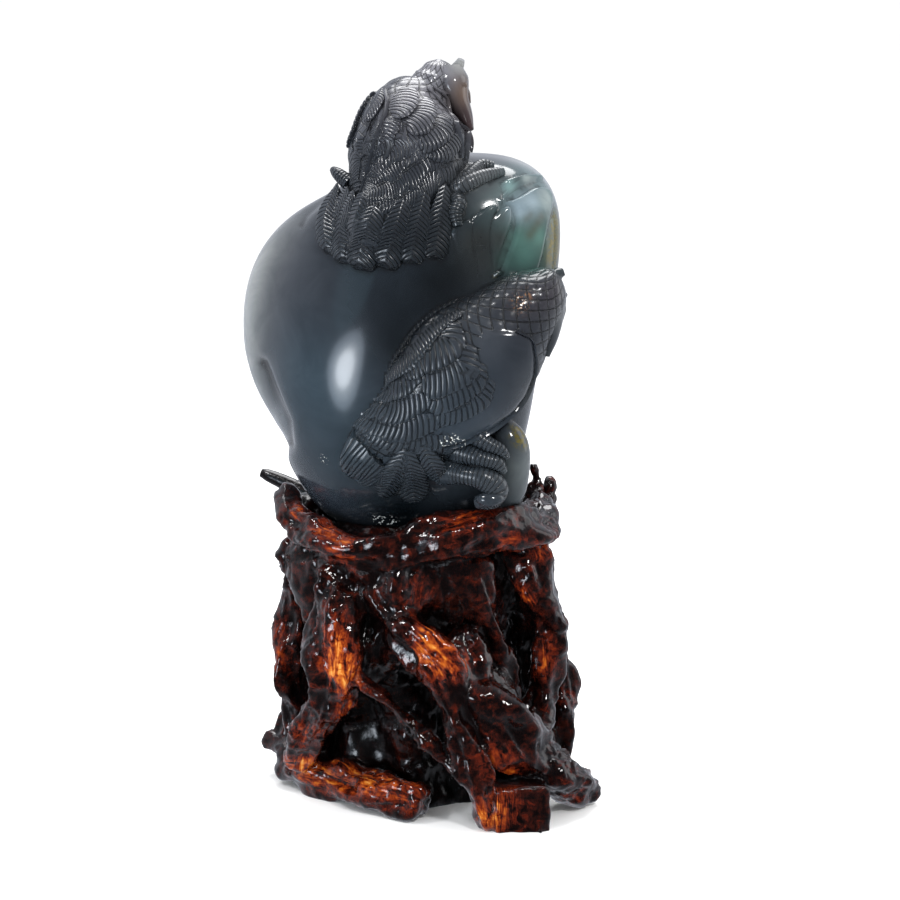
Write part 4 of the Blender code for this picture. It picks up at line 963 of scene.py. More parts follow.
# Rim round the seat and the splinters, in the same rows
rim = (
    ((-52, 3, 111, 3.6), (-46, -10, 106, 5.0), (-37, -22, 102, 5.8), (-25, -30, 100, 6.4),
     (-12, -33, 100, 6.8), (2, -34, 103, 7.2), (16, -33, 106, 7.4), (29, -27, 106, 7.6),
     (38, -15, 104, 7.6), (42, 3, 104, 6.6), (35, 20, 105, 6.6), (16, 30, 106, 6.8),
     (-8, 32, 107, 6.4), (-28, 25, 106, 6.0), (-40, 12, 106, 5.0), (-44, 2, 102, 4.6)),
    ((39, 15, 120, 1.3), (40, 15, 113, 2.4), (40, 11, 104, 4.6)),
    ((46, 20, 114, 1.2), (45.5, 17, 106, 2.4), (42, 11, 95, 5.6)),
    ((-44, -2, 94, 4.4), (-48, -2, 90, 4.2), (-52, -3, 88, 3.8)),
)
# The straight bare twig behind the stone at the left, in rows as the trunk's
twig = {"spine": ((-61.0, 32.0, 113.5, 1.6, 1.6), (-58.0, 31.0, 112.6, 2.4, 2.4),
                  (-50.0, 28.0, 109.6, 3.0, 3.0), (-40.0, 24.0, 105.0, 3.6, 3.6),
                  (-28.0, 20.0, 98.0, 4.0, 4.0)), "back": (0.0, -1.0, 0.0)}
sawnBlock = {"place": (34.0, -40.0, 0.0), "size": (20.0, 15.0, 18.0), "middle": (0.0, 0.0, 7.0),
             "turn": 0.20}
# How the wood is gnarled, in mm
gnarl = {
    "voxel": 0.95,                              # size of the cells that run the roots together
    "triangles": 192000,
    "knotSize": 11.0, "knotHeight": 4.0,
    "edges": 0.16, "winding": 0.055,            # soft edges along a root and how fast they wind, per mm
    "sway": 1.7, "swaySize": 13.0,              # how far the roots bend aside, and over what length
    "ridges": 1.2, "fibres": 1.1, "beads": 0.6,
    "ridgeRun": (24.0, 7.0, 1.0), "fibreRun": (11.0, 2.4, 1.0),    # lengths along and round a root
    "crestSize": 9.0, "beadSize": 2.6, "fineBeadSize": 2.0, "roughSize": 17.0,
    "apart": 31.7,                              # offset of each root's noise from the one before
    "gap": 0.6,                                 # left round the stone in its seat
}
# Where the lacquer lets amber wood shine through: x, y, z, radius and strength
amberSpots = (
    (-44, -14, 110, 6, 0.8), (-35, -27, 106, 6, 0.9), (-28, -35, 101, 6, 0.9), (-32, -40, 75, 6, 0.7),
    (-29, -41, 67, 6, 0.8), (-28, -39, 55, 8, 1.0), (-29, -40, 61, 6, 0.8), (4, -46, 73, 6, 0.9),
    (3, -47, 67, 7, 1.0), (8, -48, 62, 7, 0.9), (14, -40, 60, 6, 0.7), (-48, -9, 14, 7, 1.0),
    (-40, -12, 12, 8, 1.0), (-31, -18, 12, 8, 1.0), (-22, -24, 13, 8, 1.0), (-13, -30, 12, 7, 0.9),
    (-5, -36, 11, 6, 0.9), (26, -48, 9, 8, 0.9), (22, -47, 4, 6, 0.8), (24, -45, 28, 6, 0.8),
    (31, -43, 21, 5, 0.8), (37, -23, 80, 5, 0.8), (44, -18, 53, 5, 0.8), (43, -20, 60, 5, 0.6),
    (35, -5, 65, 6, 0.5), (42, -21, 98, 6, 0.8), (-54, 0, 52, 5, 0.8), (-53, 1, 62, 5, 0.6),
    (53, 9, 33, 4, 0.5), (-27, -32, 41, 6, 0.7), (-38, -27, 31, 6, 0.6), (-47, -21, 29, 5, 0.8),
    (53, -26, 7, 4, 0.7), (11, -36, 110, 7, 0.5), (17, -37, 112, 6, 0.6), (30, -33, 103, 7, 0.5),
    (-3, -37, 83, 7, 0.5), (-20, 38, 60, 9, 0.5), (20, 40, 30, 9, 0.6), (-36, 38, 30, 8, 0.6),
    (36, 34, 80, 8, 0.5), (2, 42, 90, 8, 0.5),
)


def rootFrame(rows):
    # Spine at even steps, with a side and an up vector carried along it without turning
    steps = 6 * len(rows)
    fine = smoothPath(rows, steps)
    axis = unitVectors(np.gradient(fine[:, :3], axis=0))
    side = np.empty_like(axis)
    side[0] = unitVectors(np.cross(axis[0], (0.31, -0.85, 0.43)))    # a way no root sets out in
    for k in range(1, steps):
        side[k] = unitVectors(side[k - 1] - axis[k] * (side[k - 1] @ axis[k]))
    path = np.concatenate([[0.0], np.cumsum(np.linalg.norm(np.diff(fine[:, :3], axis=0), axis=1))])
    return fine, axis, side, np.cross(side, axis), path


def rootRings(rows, columns=26):
    # Round tube with soft edges winding along it, of radius
    # r (1 + e cos 3(a - w s) + e / 2 cos(5 a + 2 w s)), rounded off at both ends within one radius
    fine, _, side, up, path = rootFrame(rows)
    radius = fine[:, 3]
    near = np.minimum(path, path[-1] - path) / radius
    end = np.sqrt(1.0 - (1.0 - np.clip(0.35 + near, 0.0, 1.0)) ** 2)
    around = np.linspace(0.0, turn, columns, endpoint=False)[None, :]
    wound = gnarl["winding"] * path[:, None]
    edges = gnarl["edges"] * (np.cos(3.0 * (around - wound)) + 0.5 * np.cos(5.0 * around + 2.0 * wound))
    reach = (radius * end)[:, None, None] * (1.0 + edges)[..., None]
    return fine[:, None, :3] + reach * (side[:, None] * np.cos(around)[..., None]
                                        + up[:, None] * np.sin(around)[..., None])


def trunkRings():
    # The trunk's skin with two sets of winding flutes
    along = np.linspace(0.0, 1.0, 60)[:, None]
    around = np.linspace(0.0, turn, 120, endpoint=False)[None, :]
    flutes = np.cos(trunk["flutes"] * around + 4.0 * along) + 0.5 * np.cos(3.0 * around - 5.0 * along)
    return skin(trunk, along, around, flutes * trunk["fluteDepth"])


def boxRings(wide, deep, low, high):
    # Upright box as two four-cornered rings
    rings = np.zeros((2, 4, 3))
    rings[:, :, :2] = np.array([(-0.5, -0.5), (0.5, -0.5), (0.5, 0.5), (-0.5, 0.5)]) * (wide, deep)
    rings[:, :, 2] = np.array([low, high])[:, None]
    return rings


def blockPoints(points, back=False):
    # Into the sawn block's own place and turn, or back out of it
    cos, sin = math.cos(sawnBlock["turn"]), math.sin(sawnBlock["turn"])
    turned = np.array([[cos, sin, 0.0], [-sin, cos, 0.0], [0.0, 0.0, 1.0]])
    if back:
        return (points - sawnBlock["place"]) @ turned.T
    return points @ turned + sawnBlock["place"]


def onBlock(points):
    # The spots within the sawn block's sides, or a millimetre outside them
    away = np.abs(blockPoints(points, back=True) - sawnBlock["middle"])
    return np.max(away / (0.5 * np.array(sawnBlock["size"]) + 1.0), axis=1) < 1.0


def blockRings():
    # From a little below the floor to its top
    wide, deep, high = sawnBlock["size"]
    return blockPoints(boxRings(wide, deep, -0.1 * high, 0.9 * high))


def applyVoxels(thing, size):
    # Runs the object's overlapping surfaces into one skin of small quads
    remesh = thing.modifiers.new("one_body", "REMESH")
    remesh.mode = "VOXEL"
    remesh.voxel_size = size * mm
    bakeModifiers(thing)


def joinGroup(name, group):
    # All the group's surfaces in one mesh object
    shape = bmesh.new()
    for thing in list(group.objects):
        shape.from_mesh(thing.data)
        bpy.data.objects.remove(thing, do_unlink=True)
    mesh = bpy.data.meshes.new(name)
    shape.to_mesh(mesh)
    shape.free()
    whole = bpy.data.objects.new(name, mesh)
    bpy.context.scene.collection.objects.link(whole)
    return whole


def setPoints(mesh, points):
    mesh.vertices.foreach_set("co", (points * mm).ravel())
    mesh.update()


def rootGrain(points):
    # Nearest root of each point, from samples along all the spines: coordinates along it and
    # round it in mm, and an offset of its own, so that no two roots have the same noise
    samples = [rootFrame(row) for row in roots + rim]
    place = np.concatenate([fine[:, :3] for fine, *_ in samples])
    radius = np.concatenate([fine[:, 3] for fine, *_ in samples])
    axis, side, up, path = (np.concatenate([part[k] for part in samples]) for k in (1, 2, 3, 4))
    which = np.repeat(np.arange(len(samples)), [len(part[0]) for part in samples])
    nearest = np.empty(len(points), int)
    for start in range(0, len(points), 20000):
        gap = np.linalg.norm(points[start:start + 20000, None] - place[None], axis=-1) / radius
        nearest[start:start + 20000] = gap.argmin(axis=1)
    away = points - place[nearest]
    along = path[nearest] + np.sum(away * axis[nearest], axis=1)
    angle = np.arctan2(np.sum(away * up[nearest], axis=1), np.sum(away * side[nearest], axis=1))
    return np.stack([along, angle * radius[nearest], which[nearest] * gnarl["apart"]], axis=-1)


def crest(points, size, seed):
    # Sharp crests between smooth hollows: 1 - 2 sqrt|noise|
    return 1.0 - 2.0 * np.sqrt(np.abs(latticeNoise(points, size, seed)) + 0.002)


def barkRelief(points, grain):
    # Crests drawn out along the roots, finer fibres on them, and beads where a broad noise is
    # high, so that smooth lacquered flats stay between the rough parts
    ridges = crest(grain / gnarl["ridgeRun"], 1.0, 3) + 0.35 * crest(points, gnarl["crestSize"], 6)
    fibre = latticeNoise(grain / gnarl["fibreRun"], 1.0, 4)
    beads = latticeNoise(points, gnarl["beadSize"], 7) + 0.6 * crest(points, gnarl["fineBeadSize"], 8)
    rough = smoothStep(-0.1, 0.4, latticeNoise(points, gnarl["roughSize"], 5))
    return (gnarl["ridges"] * (ridges + 0.2) + gnarl["fibres"] * fibre * (0.4 + rough)
            + gnarl["beads"] * beads * (0.1 + rough))


def recessed(points):
    # 1 deep between the roots, 0 on the outside: how far a spot lies inside the stand's outline
    # at its height and bearing, found on a grid of bands round the stand
    bandHeight, bands, sectors = 6.0, 20, 36
    reach = np.hypot(points[:, 0], points[:, 1])
    row = np.clip(points[:, 2] / bandHeight, 0.0, bands - 1.0).astype(int) + 1
    bearing = np.arctan2(points[:, 1], points[:, 0]) / turn + 0.5
    column = (bearing * sectors).astype(int) % sectors
    outline = np.zeros((bands + 2, sectors))
    np.maximum.at(outline, (row, column), reach)
    outline = np.maximum(outline, 0.5 * (np.roll(outline, 1, axis=1) + np.roll(outline, -1, axis=1)))
    outline[0], outline[-1] = outline[1], outline[-2]
    near = [np.roll(outline, shift, axis=(0, 1)) for shift in ((0, 0), (1, 0), (-1, 0), (0, 1), (0, -1))]
    depth = np.mean(near, axis=0)[row, column] - reach
    return smoothStep(6.0, 17.0, depth)


def swayed(points):
    # Moves points by three noises, so that no root runs straight
    aside = np.stack([latticeNoise(points, gnarl["swaySize"], seed) for seed in (11, 12, 13)], axis=-1)
    return points + gnarl["sway"] * aside


def raiseKnots(thing):
    knots = bpy.data.textures.new("knots", "CLOUDS")
    knots.noise_scale = gnarl["knotSize"] * mm
    knots.noise_depth = 2
    bumpy = thing.modifiers.new("knots", "DISPLACE")
    bumpy.texture = knots
    bumpy.texture_coords = "LOCAL"
    bumpy.strength = gnarl["knotHeight"] * mm
    bumpy.mid_level = 0.5
    bakeModifiers(thing)


def raiseBark(thing):
    # Moves the points out along their normals, then leaves as many triangles as asked for
    points = readPoints(thing.data)
    relief = np.where(onBlock(points), 0.0, barkRelief(points, rootGrain(points)))
    setPoints(thing.data, points + readNormals(thing.data) * relief[:, None])
    fewer = thing.modifiers.new("fewer_faces", "DECIMATE")
    fewer.ratio = min(1.0, gnarl["triangles"] / triangleCount(thing.data))
    bakeModifiers(thing)


def buildStand():
    shapes = newGroup("stand_forms")
    closedSurface("trunk", trunkRings(), shapes)
    closedSurface("block", blockRings(), shapes)
    for rows in roots + rim:
        closedSurface("root", swayed(rootRings(rows)), shapes)
    stand = joinGroup("root_wood_stand", shapes)
    applyVoxels(stand, gnarl["voxel"])
    raiseKnots(stand)
    applyVoxels(stand, gnarl["voxel"])
    print("triangles of the roots run together:", triangleCount(stand.data))
    raiseBark(stand)
    cutAway(stand, closedSurface("seat", toStone(boulderRings(rows=90, columns=140, lift=gnarl["gap"])),
                                 shapes))
    underFloor = boxRings(wide=400.0, deep=400.0, low=-60.0, high=0.0)
    cutAway(stand, closedSurface("below_floor", underFloor, shapes))
    closedSurface("twig", limbRings(twig, rows=40, columns=20)[0], shapes)
    uniteGroup(stand, shapes)
    print("triangles of the stand:", triangleCount(stand.data))
    stand.data.shade_smooth()
    return stand


def paintWood(thing):
    # Keeps the grain's run, upright in the sawn block, the amber patches, the hollows and the
    # recesses, which the material darkens as painted shade, and the twig, which it paints the same near
    # black, at every point of the stand
    points = readPoints(thing.data)
    grain, sawn = rootGrain(points), onBlock(points)
    across = blockPoints(points, back=True)[:, 0]
    grain[sawn] = np.stack([points[:, 2], 4.0 * across, np.zeros(len(points))], axis=-1)[sawn]
    writeValues(thing.data, "grain", grain)
    writeValues(thing.data, "amber", nearSpots(points, amberSpots))
    writeValues(thing.data, "hollow", hollows(thing.data, rounds=30, full=1.6))
    bare = nearSpots(points, [(*spot[:3], 6.0, 1.0) for spot in smoothPath(twig["spine"][:4], 12)])
    recess = blurred(recessed(points), readEdges(thing.data), rounds=12)
    writeValues(thing.data, "recess", np.maximum(bare, recess))


stand = buildStand()
paintWood(stand)
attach(stand, "root")
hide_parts("root_stand")


print("stage: materials")


def linear(hexColour):
    # sRGB hex to linear light: ((c + 0.055) / 1.055)^2.4, or c / 12.92 in the darkest part
    parts = [int(hexColour[k:k + 2], 16) / 255.0 for k in (1, 3, 5)]
    return tuple(c / 12.92 if c <= 0.04045 else ((c + 0.055) / 1.055) ** 2.4 for c in parts) + (1.0,)


def addNode(tree, kind, values=None, links=None, **settings):
    # New shader node with its settings, its sockets' values and the sockets that feed it
    node = tree.nodes.new(kind)
    for name, value in settings.items():
        setattr(node, name, value)
    for socket, value in (values or {}).items():
        node.inputs[socket].default_value = value
    for socket, source in (links or {}).items():
        tree.links.new(source, node.inputs[socket])
    return node


def newMaterial(name):
    material = bpy.data.materials.new(name)
    material.use_nodes = True
    return material, material.node_tree, material.node_tree.nodes["Principled BSDF"]


agateLook = {
    # colours painted round spots: x, y, z, radius, strength, colour; the ones marked are painted light, and
    # the others make the stone paler, darker or tinted in places
    "body": "#30343a",
    "zones": (
        # painted light, the next four lines: a pale left edge standing in for the room's reflection and for
        # light through the thin stone
        (-67, 6, 212, 15, 0.9, "#a9aaa8"), (-70, 8, 196, 15, 0.9, "#b8b9b6"),
        (-70, 8, 180, 14, 0.9, "#b8b9b6"), (-68, 10, 164, 12, 0.9, "#a9aaa8"),
        (-62, 12, 148, 10, 0.9, "#9a9c9c"), (-58, 4, 226, 13, 0.7, "#8d8f90"),
        (-52, 0, 136, 10, 0.7, "#7d8083"), (-42, 4, 238, 8, 0.7, "#8d8f90"),
        # painted reflection: the first zone of the next line, pale on the ridge at the top right
        (40, 6, 236, 9, 0.8, "#b9b9b4"), (-50, -12, 190, 20, 0.4, "#3e4147"),
        (-38, -26, 158, 22, 0.7, "#36454e"), (-26, -30, 130, 22, 0.6, "#2b3840"),
        (-8, -32, 188, 22, 0.9, "#12161a"), (10, -32, 202, 18, 0.8, "#121516"),
        (0, -34, 160, 12, 0.5, "#1a2026"), (-8, -22, 110, 17, 1.0, "#04090c"),
        (14, -30, 128, 18, 0.4, "#2a3338"), (-5, -14, 250, 16, 0.8, "#55545a"),
        (0, -12, 258, 10, 0.8, "#8a878c"), (4, 0, 267, 8, 0.6, "#a3a0a6"),
        (-12, -20, 228, 20, 0.6, "#26282d"), (-10, -30, 206, 22, 0.6, "#20262c"),
        (6, -2, 265, 8, 0.7, "#77757b"), (13, 2, 268, 4, 1.0, "#a09f9c"),
        (15, -1, 258, 6, 0.8, "#77604f"), (16, -1, 247, 8, 0.7, "#4e3c3c"),
        (36, -20, 215, 15, 0.9, "#556763"), (43, -7, 226, 13, 0.9, "#6d8082"),
        (38, -18, 202, 10, 0.8, "#39504a"), (30, -22, 224, 8, 0.7, "#53605f"),
        (20, -20, 233, 9, 0.5, "#6b6b6c"), (22, -28, 205, 10, 0.8, "#2a2b2b"),
        (46, -38, 193, 9, 0.5, "#3d3238"), (34, -42, 188, 10, 0.4, "#352f33"),
        (46, -30, 186, 7, 0.6, "#7a7c7b"), (20, -46, 178, 8, 0.4, "#4a4d52"),
        (36, -30, 128, 12, 0.8, "#5c6263"), (44, -26, 160, 12, 0.6, "#606260"),
        (10, -50, 150, 18, 0.5, "#34404a"),
    ),
    # the same, at spots of the front view: across, up, radius, strength, colour
    "nearZones": (
        (34.4, 216.5, 5.0, 0.9, "#8b9ba3"), (39.7, 219.4, 5.0, 0.9, "#93a2a9"),
        (45.1, 220.1, 4.0, 0.9, "#8f9c9a"), (34.4, 205.4, 5.0, 0.9, "#4a6860"),
        (37.9, 199.0, 6.0, 0.9, "#4c6f66"), (31.0, 197.3, 4.0, 0.9, "#39524c"),
        (42.0, 206.4, 4.0, 0.9, "#5b7d73"), (37.9, 227.6, 2.4, 0.9, "#8d9996"),
        (31.5, 224.6, 2.6, 0.9, "#7d9896"), (27.2, 205.6, 3.5, 0.8, "#363836"),
        (19.3, 205.2, 4.5, 0.8, "#2b2c2b"), (27.5, 213.5, 2.5, 0.7, "#4c5352"),
        (38.4, 206.8, 1.8, 0.45, "#4c4030"), (39.9, 208.9, 1.8, 0.45, "#4c4030"),
        (41.4, 211.2, 1.8, 0.45, "#54483a"), (42.9, 213.6, 1.8, 0.4, "#5e5548"),
        (37.2, 212.8, 1.5, 0.35, "#54503f"), (38.8, 214.2, 1.5, 0.35, "#5e5a4c"),
        (26.6, 192.6, 1.6, 1.0, "#b9a85c"), (49.4, 212.0, 3.4, 1.0, "#5f5c30"),
        (49.4, 205.0, 4.2, 1.0, "#57531f"), (48.8, 199.0, 4.0, 1.0, "#57501f"),
        (-10.5, 167.0, 8.0, 0.6, "#05090a"), (5.8, 190.5, 9.0, 0.5, "#050708"),
    ),
    # moss-green inclusions under the polish, also at spots of the front view, white mineral specks
    # and rust specks: place, radius, strength
    "moss": ((49, -9, 211, 6, 1.0), (49, -9, 202, 7, 1.0), (50, -2, 206, 10, 0.8), (50, -6, 192, 8, 0.6),
             (35, -31, 141, 5, 1.0), (25, -30, 197, 2, 0.5)),
    "nearMoss": ((49.4, 212.0, 3.4, 0.8), (49.4, 205.0, 4.2, 1.0), (48.8, 199.0, 4.0, 1.0)),
    "specks": ((8, -43, 141, 2.5, 0.9), (10, -43, 142, 1.8, 0.8), (13, -41, 140, 2.0, 1.0),
               (-35, -24, 131, 2.5, 0.6), (-16, -21, 108, 3.0, 0.8), (-11, -22, 107, 2.5, 0.8),
               (34, -42, 190, 2.5, 0.8)),
    "rust": ((34, -42, 190, 2.6, 1.0), (36, -42, 194, 1.8, 0.7)),
}


def onNearSide(spots):
    # Spots of the front view, set on the stone's near side
    return tuple((*(onStone(x, z) + (0.0, 0.0, seatLevel)), *rest) for x, z, *rest in spots)


def paintAgate(thing):
    # Keeps the zone colour, which includes painted light along the edges, the hollows, which the material
    # darkens as painted shade, and the inclusions at every point of the stone
    points = readPoints(thing.data)
    colour = np.tile(np.array(linear(agateLook["body"])[:3]), (len(points), 1))
    for x, y, z, radius, strength, shade in agateLook["zones"] + onNearSide(agateLook["nearZones"]):
        share = strength * np.exp(-np.sum((points - (x, y, z)) ** 2, axis=1) / radius ** 2)
        colour += (np.array(linear(shade)[:3]) - colour) * share[:, None]
    writeValues(thing.data, "zone", colour)
    writeValues(thing.data, "hollow", hollows(thing.data, rounds=8, full=0.35))
    moss = agateLook["moss"] + onNearSide(agateLook["nearMoss"])
    for name, spots in (("moss", moss), ("specks", agateLook["specks"]), ("rust", agateLook["rust"])):
        writeValues(thing.data, name, nearSpots(points, spots))


def kept(tree, name):
    # The numbers kept at the mesh's points under this name
    return addNode(tree, "ShaderNodeAttribute", attribute_name=name)


def mixed(tree, share, first, second, blend="MIX"):
    # Mix of two colours, either of which may be a socket or a hex colour
    node = addNode(tree, "ShaderNodeMix", data_type="RGBA", blend_type=blend)
    for socket, source in ((0, share), (6, first), (7, second)):
        if isinstance(source, str):
            node.inputs[socket].default_value = linear(source)
        elif isinstance(source, float):
            node.inputs[socket].default_value = source
        else:
            tree.links.new(source, node.inputs[socket])
    return node.outputs[2]


def maths(tree, operation, first, second=0.0, third=0.0):
    # One operation on numbers, any of which may be a socket
    node = addNode(tree, "ShaderNodeMath", operation=operation)
    for socket, source in enumerate((first, second, third)):
        if isinstance(source, float):
            node.inputs[socket].default_value = source
        else:
            tree.links.new(source, node.inputs[socket])
    return node.outputs[0]


def stepped(tree, source, low, high, to=(0.0, 1.0)):
    # From the first value at low to the second at high, with smooth ends
    return addNode(tree, "ShaderNodeMapRange", links={0: source}, interpolation_type="SMOOTHSTEP",
                   values={1: low, 2: high, 3: to[0], 4: to[1]}).outputs[0]


def noiseAt(tree, place, size, detail=2.0, roughness=0.5, distortion=0.0):
    # Noise from 0 to 1 whose blobs are size mm across, on coordinates in metres
    return addNode(tree, "ShaderNodeTexNoise", links={"Vector": place},
                   values={"Scale": 1.0 / (size * mm), "Detail": detail, "Roughness": roughness,
                           "Distortion": distortion}).outputs["Fac"]


def carvedLines(tree):
    # How much a spot is carved (0 on the bare stone), and 1 on an incised line. Where the third
    # number of the net is above 0 these are its diagonals u + v and u - v, and where it is below
    # 0 the gaps between barbs and the feathers' sides
    parts = addNode(tree, "ShaderNodeSeparateXYZ", links={0: kept(tree, "net").outputs["Vector"]})
    u, v, strength = parts.outputs
    gaps = [maths(tree, "PINGPONG", maths(tree, kind, u, v), 0.5) for kind in ("ADD", "SUBTRACT")]
    net = stepped(tree, maths(tree, "MINIMUM", *gaps), 0.03, 0.09, (1.0, 0.0))
    barbs = stepped(tree, maths(tree, "PINGPONG", u, 0.5), 0.05, 0.2, (1.0, 0.0))
    sides = stepped(tree, v, 0.96, 1.3)
    scales = stepped(tree, strength, 0.3, 0.9)
    feathers = stepped(tree, strength, -0.2, -1.0)
    cuts = maths(tree, "MAXIMUM", maths(tree, "MULTIPLY", barbs, 0.8), sides)
    lines = maths(tree, "MULTIPLY_ADD", scales, net, maths(tree, "MULTIPLY", feathers, cuts))
    return maths(tree, "MAXIMUM", maths(tree, "MULTIPLY", scales, 0.6), feathers), lines


def buildAgate():
    # Dark slate-blue agate with a high polish: cloudy depths, moss-green, white and rust inclusions
    # where the real stone has them, and painted shade that darkens the cut lines and hollows
    material, tree, shader = newMaterial("polished_agate")
    place = addNode(tree, "ShaderNodeTexCoord").outputs["Object"]
    clouds = noiseAt(tree, place, 16.0, detail=4.0, roughness=0.6, distortion=0.8)
    shade = mixed(tree, 1.0, kept(tree, "zone").outputs["Color"],
                  mixed(tree, clouds, "#9aa2aa", "#ffffff"), blend="MULTIPLY")
    moss = maths(tree, "MULTIPLY", stepped(tree, kept(tree, "moss").outputs["Fac"], 0.15, 0.7),
                 stepped(tree, noiseAt(tree, place, 2.2, detail=5.0, roughness=0.75), 0.42, 0.58))
    shade = mixed(tree, moss, shade,
                  mixed(tree, noiseAt(tree, place, 1.4, detail=3.0), "#221e08", "#6e6322"))
    rust = maths(tree, "MULTIPLY", kept(tree, "rust").outputs["Fac"],
                 stepped(tree, noiseAt(tree, place, 0.8), 0.52, 0.6))
    shade = mixed(tree, rust, shade, mixed(tree, noiseAt(tree, place, 1.3), "#5a2c14", "#c08a52"))
    chips = maths(tree, "MULTIPLY", stepped(tree, kept(tree, "specks").outputs["Fac"], 0.2, 0.6),
                  stepped(tree, noiseAt(tree, place, 0.8, detail=1.0), 0.61, 0.66))
    shade = mixed(tree, chips, shade, "#d9dcd8")
    carved, groove = carvedLines(tree)
    # painted shade: the cut lines, the feathers' side walls and the hollows darkened towards near black
    dark = maths(tree, "MAXIMUM", maths(tree, "MULTIPLY", groove, 0.75),
                 maths(tree, "MULTIPLY", kept(tree, "hollow").outputs["Fac"], 0.8))
    shade = mixed(tree, dark, shade, "#050608")
    tree.links.new(shade, shader.inputs["Base Color"])
    rough = maths(tree, "MULTIPLY_ADD", dark, 0.2, maths(tree, "MULTIPLY_ADD", carved, 0.12, 0.13))
    tree.links.new(maths(tree, "MULTIPLY_ADD", chips, 0.3, rough), shader.inputs["Roughness"])
    depth = maths(tree, "MULTIPLY", groove, -1.0)
    bump = addNode(tree, "ShaderNodeBump", links={"Height": depth}, values={"Distance": 0.35 * mm})
    tree.links.new(bump.outputs[0], shader.inputs["Normal"])
    shader.inputs["IOR"].default_value = 1.54
    return material


# From the lacquer's near black to bare amber wood
woodStops = ((0.0, "#080303"), (0.12, "#1e0906"), (0.28, "#3e1209"), (0.46, "#64220d"),
             (0.66, "#8f3d12"), (0.85, "#b2611f"), (1.0, "#c98a40"))


def buildWood():
    # Root wood under thick dark lacquer: near black, red-brown on the crests, with amber
    # streaks along the fibres where the lacquer is worn thin
    material, tree, shader = newMaterial("lacquered_root_wood")
    place = addNode(tree, "ShaderNodeTexCoord").outputs["Object"]
    # streaks four times as long along a root as round it
    grain = addNode(tree, "ShaderNodeVectorMath", operation="MULTIPLY",
                    links={0: kept(tree, "grain").outputs["Vector"]},
                    values={1: (0.12 * mm, 0.5 * mm, 1.0 * mm)})
    streaks = noiseAt(tree, grain.outputs[0], 1.0, detail=4.0, roughness=0.65, distortion=0.8)
    mottle = noiseAt(tree, place, 3.2, detail=4.0, roughness=0.65, distortion=0.6)
    worn = stepped(tree, streaks, 0.3, 0.75, (0.1, 0.95))
    amber = maths(tree, "MULTIPLY", kept(tree, "amber").outputs["Fac"], worn)
    glow = maths(tree, "ADD", amber, stepped(tree, mottle, 0.45, 0.78, (0.05, 0.34)))
    glow = maths(tree, "SUBTRACT", glow, maths(tree, "MULTIPLY", stepped(tree, mottle, 0.5, 0.3), 0.35))
    glow = maths(tree, "SUBTRACT", glow, maths(tree, "MULTIPLY", kept(tree, "hollow").outputs["Fac"], 0.45))
    ramp = addNode(tree, "ShaderNodeValToRGB", links={0: glow})
    for index, (spot, colour) in enumerate(woodStops):
        stop = ramp.color_ramp.elements[index] if index < 2 else ramp.color_ramp.elements.new(spot)
        stop.position, stop.color = spot, linear(colour)
    recess = kept(tree, "recess").outputs["Fac"]
    # painted shade: the deep recesses between the roots darkened to near black; the twig is painted the
    # same near black
    tree.links.new(mixed(tree, maths(tree, "MULTIPLY", recess, 0.85), ramp.outputs[0], "#030101"),
                   shader.inputs["Base Color"])
    fine = noiseAt(tree, place, 1.8)
    bump = addNode(tree, "ShaderNodeBump", links={"Height": maths(tree, "ADD", fine, streaks)},
                   values={"Distance": 0.2 * mm, "Strength": 0.5})
    tree.links.new(bump.outputs[0], shader.inputs["Normal"])
    tree.links.new(maths(tree, "MULTIPLY_ADD", recess, 0.15, 0.09), shader.inputs["Roughness"])
    return material


def wear(piece, material):
    piece.data.materials.clear()
    piece.data.materials.append(material)


paintAgate(carving)
wear(carving, buildAgate())
wear(stand, buildWood())

print("stage: studio")
studio = {
    "lens": 121.5,
    # brightness of the room: as the camera sees it, as it lights, and in reflections from the
    # camera's side round to the far side
    "seen": 1.0, "light": 1.02, "front": 0.05, "far": 0.75,
    "middle": (-0.02, -0.02, 0.17),    # what the soft boxes are turned towards, in metres
    # soft boxes: direction from the object in degrees round and up, distance, width, height, watts
    "boxes": {
        "windowCore": (-40.5, -4.0, 0.62, 0.13, 0.17, 0.55, "#f2f8ff"),
        "window": (-40.5, -5.0, 0.62, 0.19, 0.25, 0.65, "#e6f2ff"),
        "windowEdge": (-40.5, -5.0, 0.62, 0.26, 0.34, 0.80, "#dcecff"),
        "upperWindow": (-47.0, 24.0, 0.80, 0.24, 0.40, 0.16, "#9cc8dd"),
        "rightWall": (105.0, 15.0, 0.90, 0.50, 0.90, 1.3, "#ffffff"),
        "ceiling": (175.0, 62.0, 1.00, 0.80, 0.80, 12.0, "#ffffff"),
        "spark": (28.0, 38.0, 1.10, 0.14, 0.14, 5.0, "#ffffff"),
        "leftSpark": (-62.0, 52.0, 1.10, 0.12, 0.20, 4.0, "#ffffff"),
    },
}


def lookAt(thing, place, target):
    thing.location = place
    thing.rotation_mode = "QUATERNION"
    thing.rotation_quaternion = (Vector(target) - Vector(place)).to_track_quat("-Z", "Y")


def softBox(name, bearing, up, distance, width, height, power, colour):
    # Oval light at a direction and distance from the middle of the stone, turned towards it
    lamp = bpy.data.lights.new(name, "AREA")
    lamp.shape = "ELLIPSE"
    lamp.size, lamp.size_y = width, height
    lamp.energy = power
    lamp.color = linear(colour)[:3]
    thing = bpy.data.objects.new(name, lamp)
    bpy.context.scene.collection.objects.link(thing)
    x, y, z = studio["middle"]
    az, el = math.radians(bearing), math.radians(up)
    place = (x + distance * math.sin(az) * math.cos(el), y - distance * math.cos(az) * math.cos(el),
             z + distance * math.sin(el))
    lookAt(thing, place, studio["middle"])
    thing.visible_camera = False


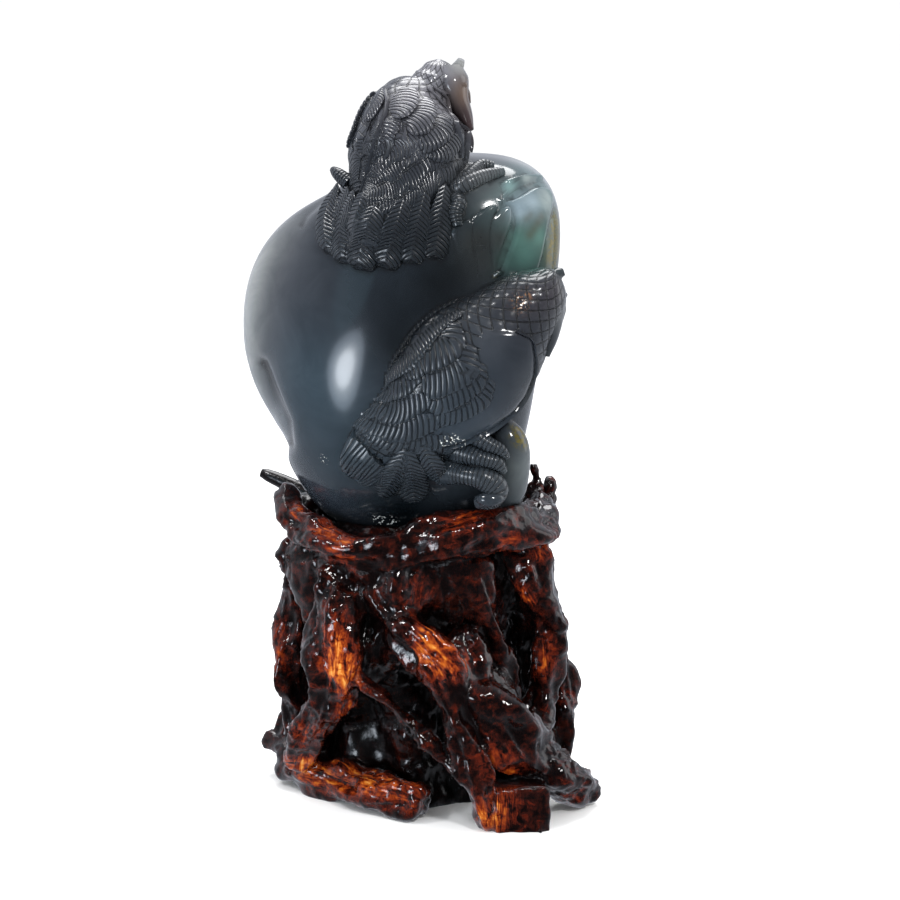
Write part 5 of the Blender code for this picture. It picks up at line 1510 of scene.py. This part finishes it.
def buildStudio():
    # The camera stands where the front view's lines of sight start
    target = np.array(sight["target"]) * mm
    place = target - ahead * sight["distance"] * mm
    lens = bpy.data.cameras.new("camera")
    lens.lens = studio["lens"]
    lens.sensor_width = 36.0
    camera = bpy.data.objects.new("camera", lens)
    bpy.context.scene.collection.objects.link(camera)
    lookAt(camera, place, target)
    bpy.context.scene.camera = camera
    for name, box in studio["boxes"].items():
        softBox(name, *box)


def buildWorld():
    # White room: plain white for the camera and as light; in reflections it is dark on the
    # camera's side and pale on the far side
    world = bpy.data.worlds.new("studio")
    bpy.context.scene.world = world
    world.use_nodes = True
    tree = world.node_tree
    tree.nodes.clear()
    ray = addNode(tree, "ShaderNodeLightPath")
    place = addNode(tree, "ShaderNodeTexCoord")
    parts = addNode(tree, "ShaderNodeSeparateXYZ", links={0: place.outputs["Generated"]})
    shade = stepped(tree, parts.outputs["Y"], -0.9, 0.8, (studio["front"], studio["far"]))
    room = addNode(tree, "ShaderNodeBackground", values={0: linear("#eef3ff")}, links={1: shade})
    light = addNode(tree, "ShaderNodeBackground", values={0: linear("#ffffff"), 1: studio["light"]})
    seen = addNode(tree, "ShaderNodeBackground", values={0: linear("#ffffff"), 1: studio["seen"]})
    lit = addNode(tree, "ShaderNodeMixShader",
                  links={0: ray.outputs["Is Glossy Ray"], 1: light.outputs[0], 2: room.outputs[0]})
    whole = addNode(tree, "ShaderNodeMixShader",
                    links={0: ray.outputs["Is Camera Ray"], 1: lit.outputs[0], 2: seen.outputs[0]})
    addNode(tree, "ShaderNodeOutputWorld", links={0: whole.outputs[0]})


def buildFloor():
    # Plain white sheet, 12 m square
    mesh = bpy.data.meshes.new("floor")
    mesh.from_pydata([(-6, -6, 0), (6, -6, 0), (6, 6, 0), (-6, 6, 0)], [], [(0, 1, 2, 3)])
    floor = bpy.data.objects.new("floor", mesh)
    bpy.context.scene.collection.objects.link(floor)
    paper, _, shader = newMaterial("white_paper")
    shader.inputs["Base Color"].default_value = linear("#ffffff")
    shader.inputs["Roughness"].default_value = 1.0
    shader.inputs["Specular IOR Level"].default_value = 0.0
    mesh.materials.append(paper)
    floor.visible_glossy = False    # the polish mirrors the room only


buildStudio()
buildWorld()
buildFloor()
bpy.context.scene.view_settings.view_transform = "Standard"
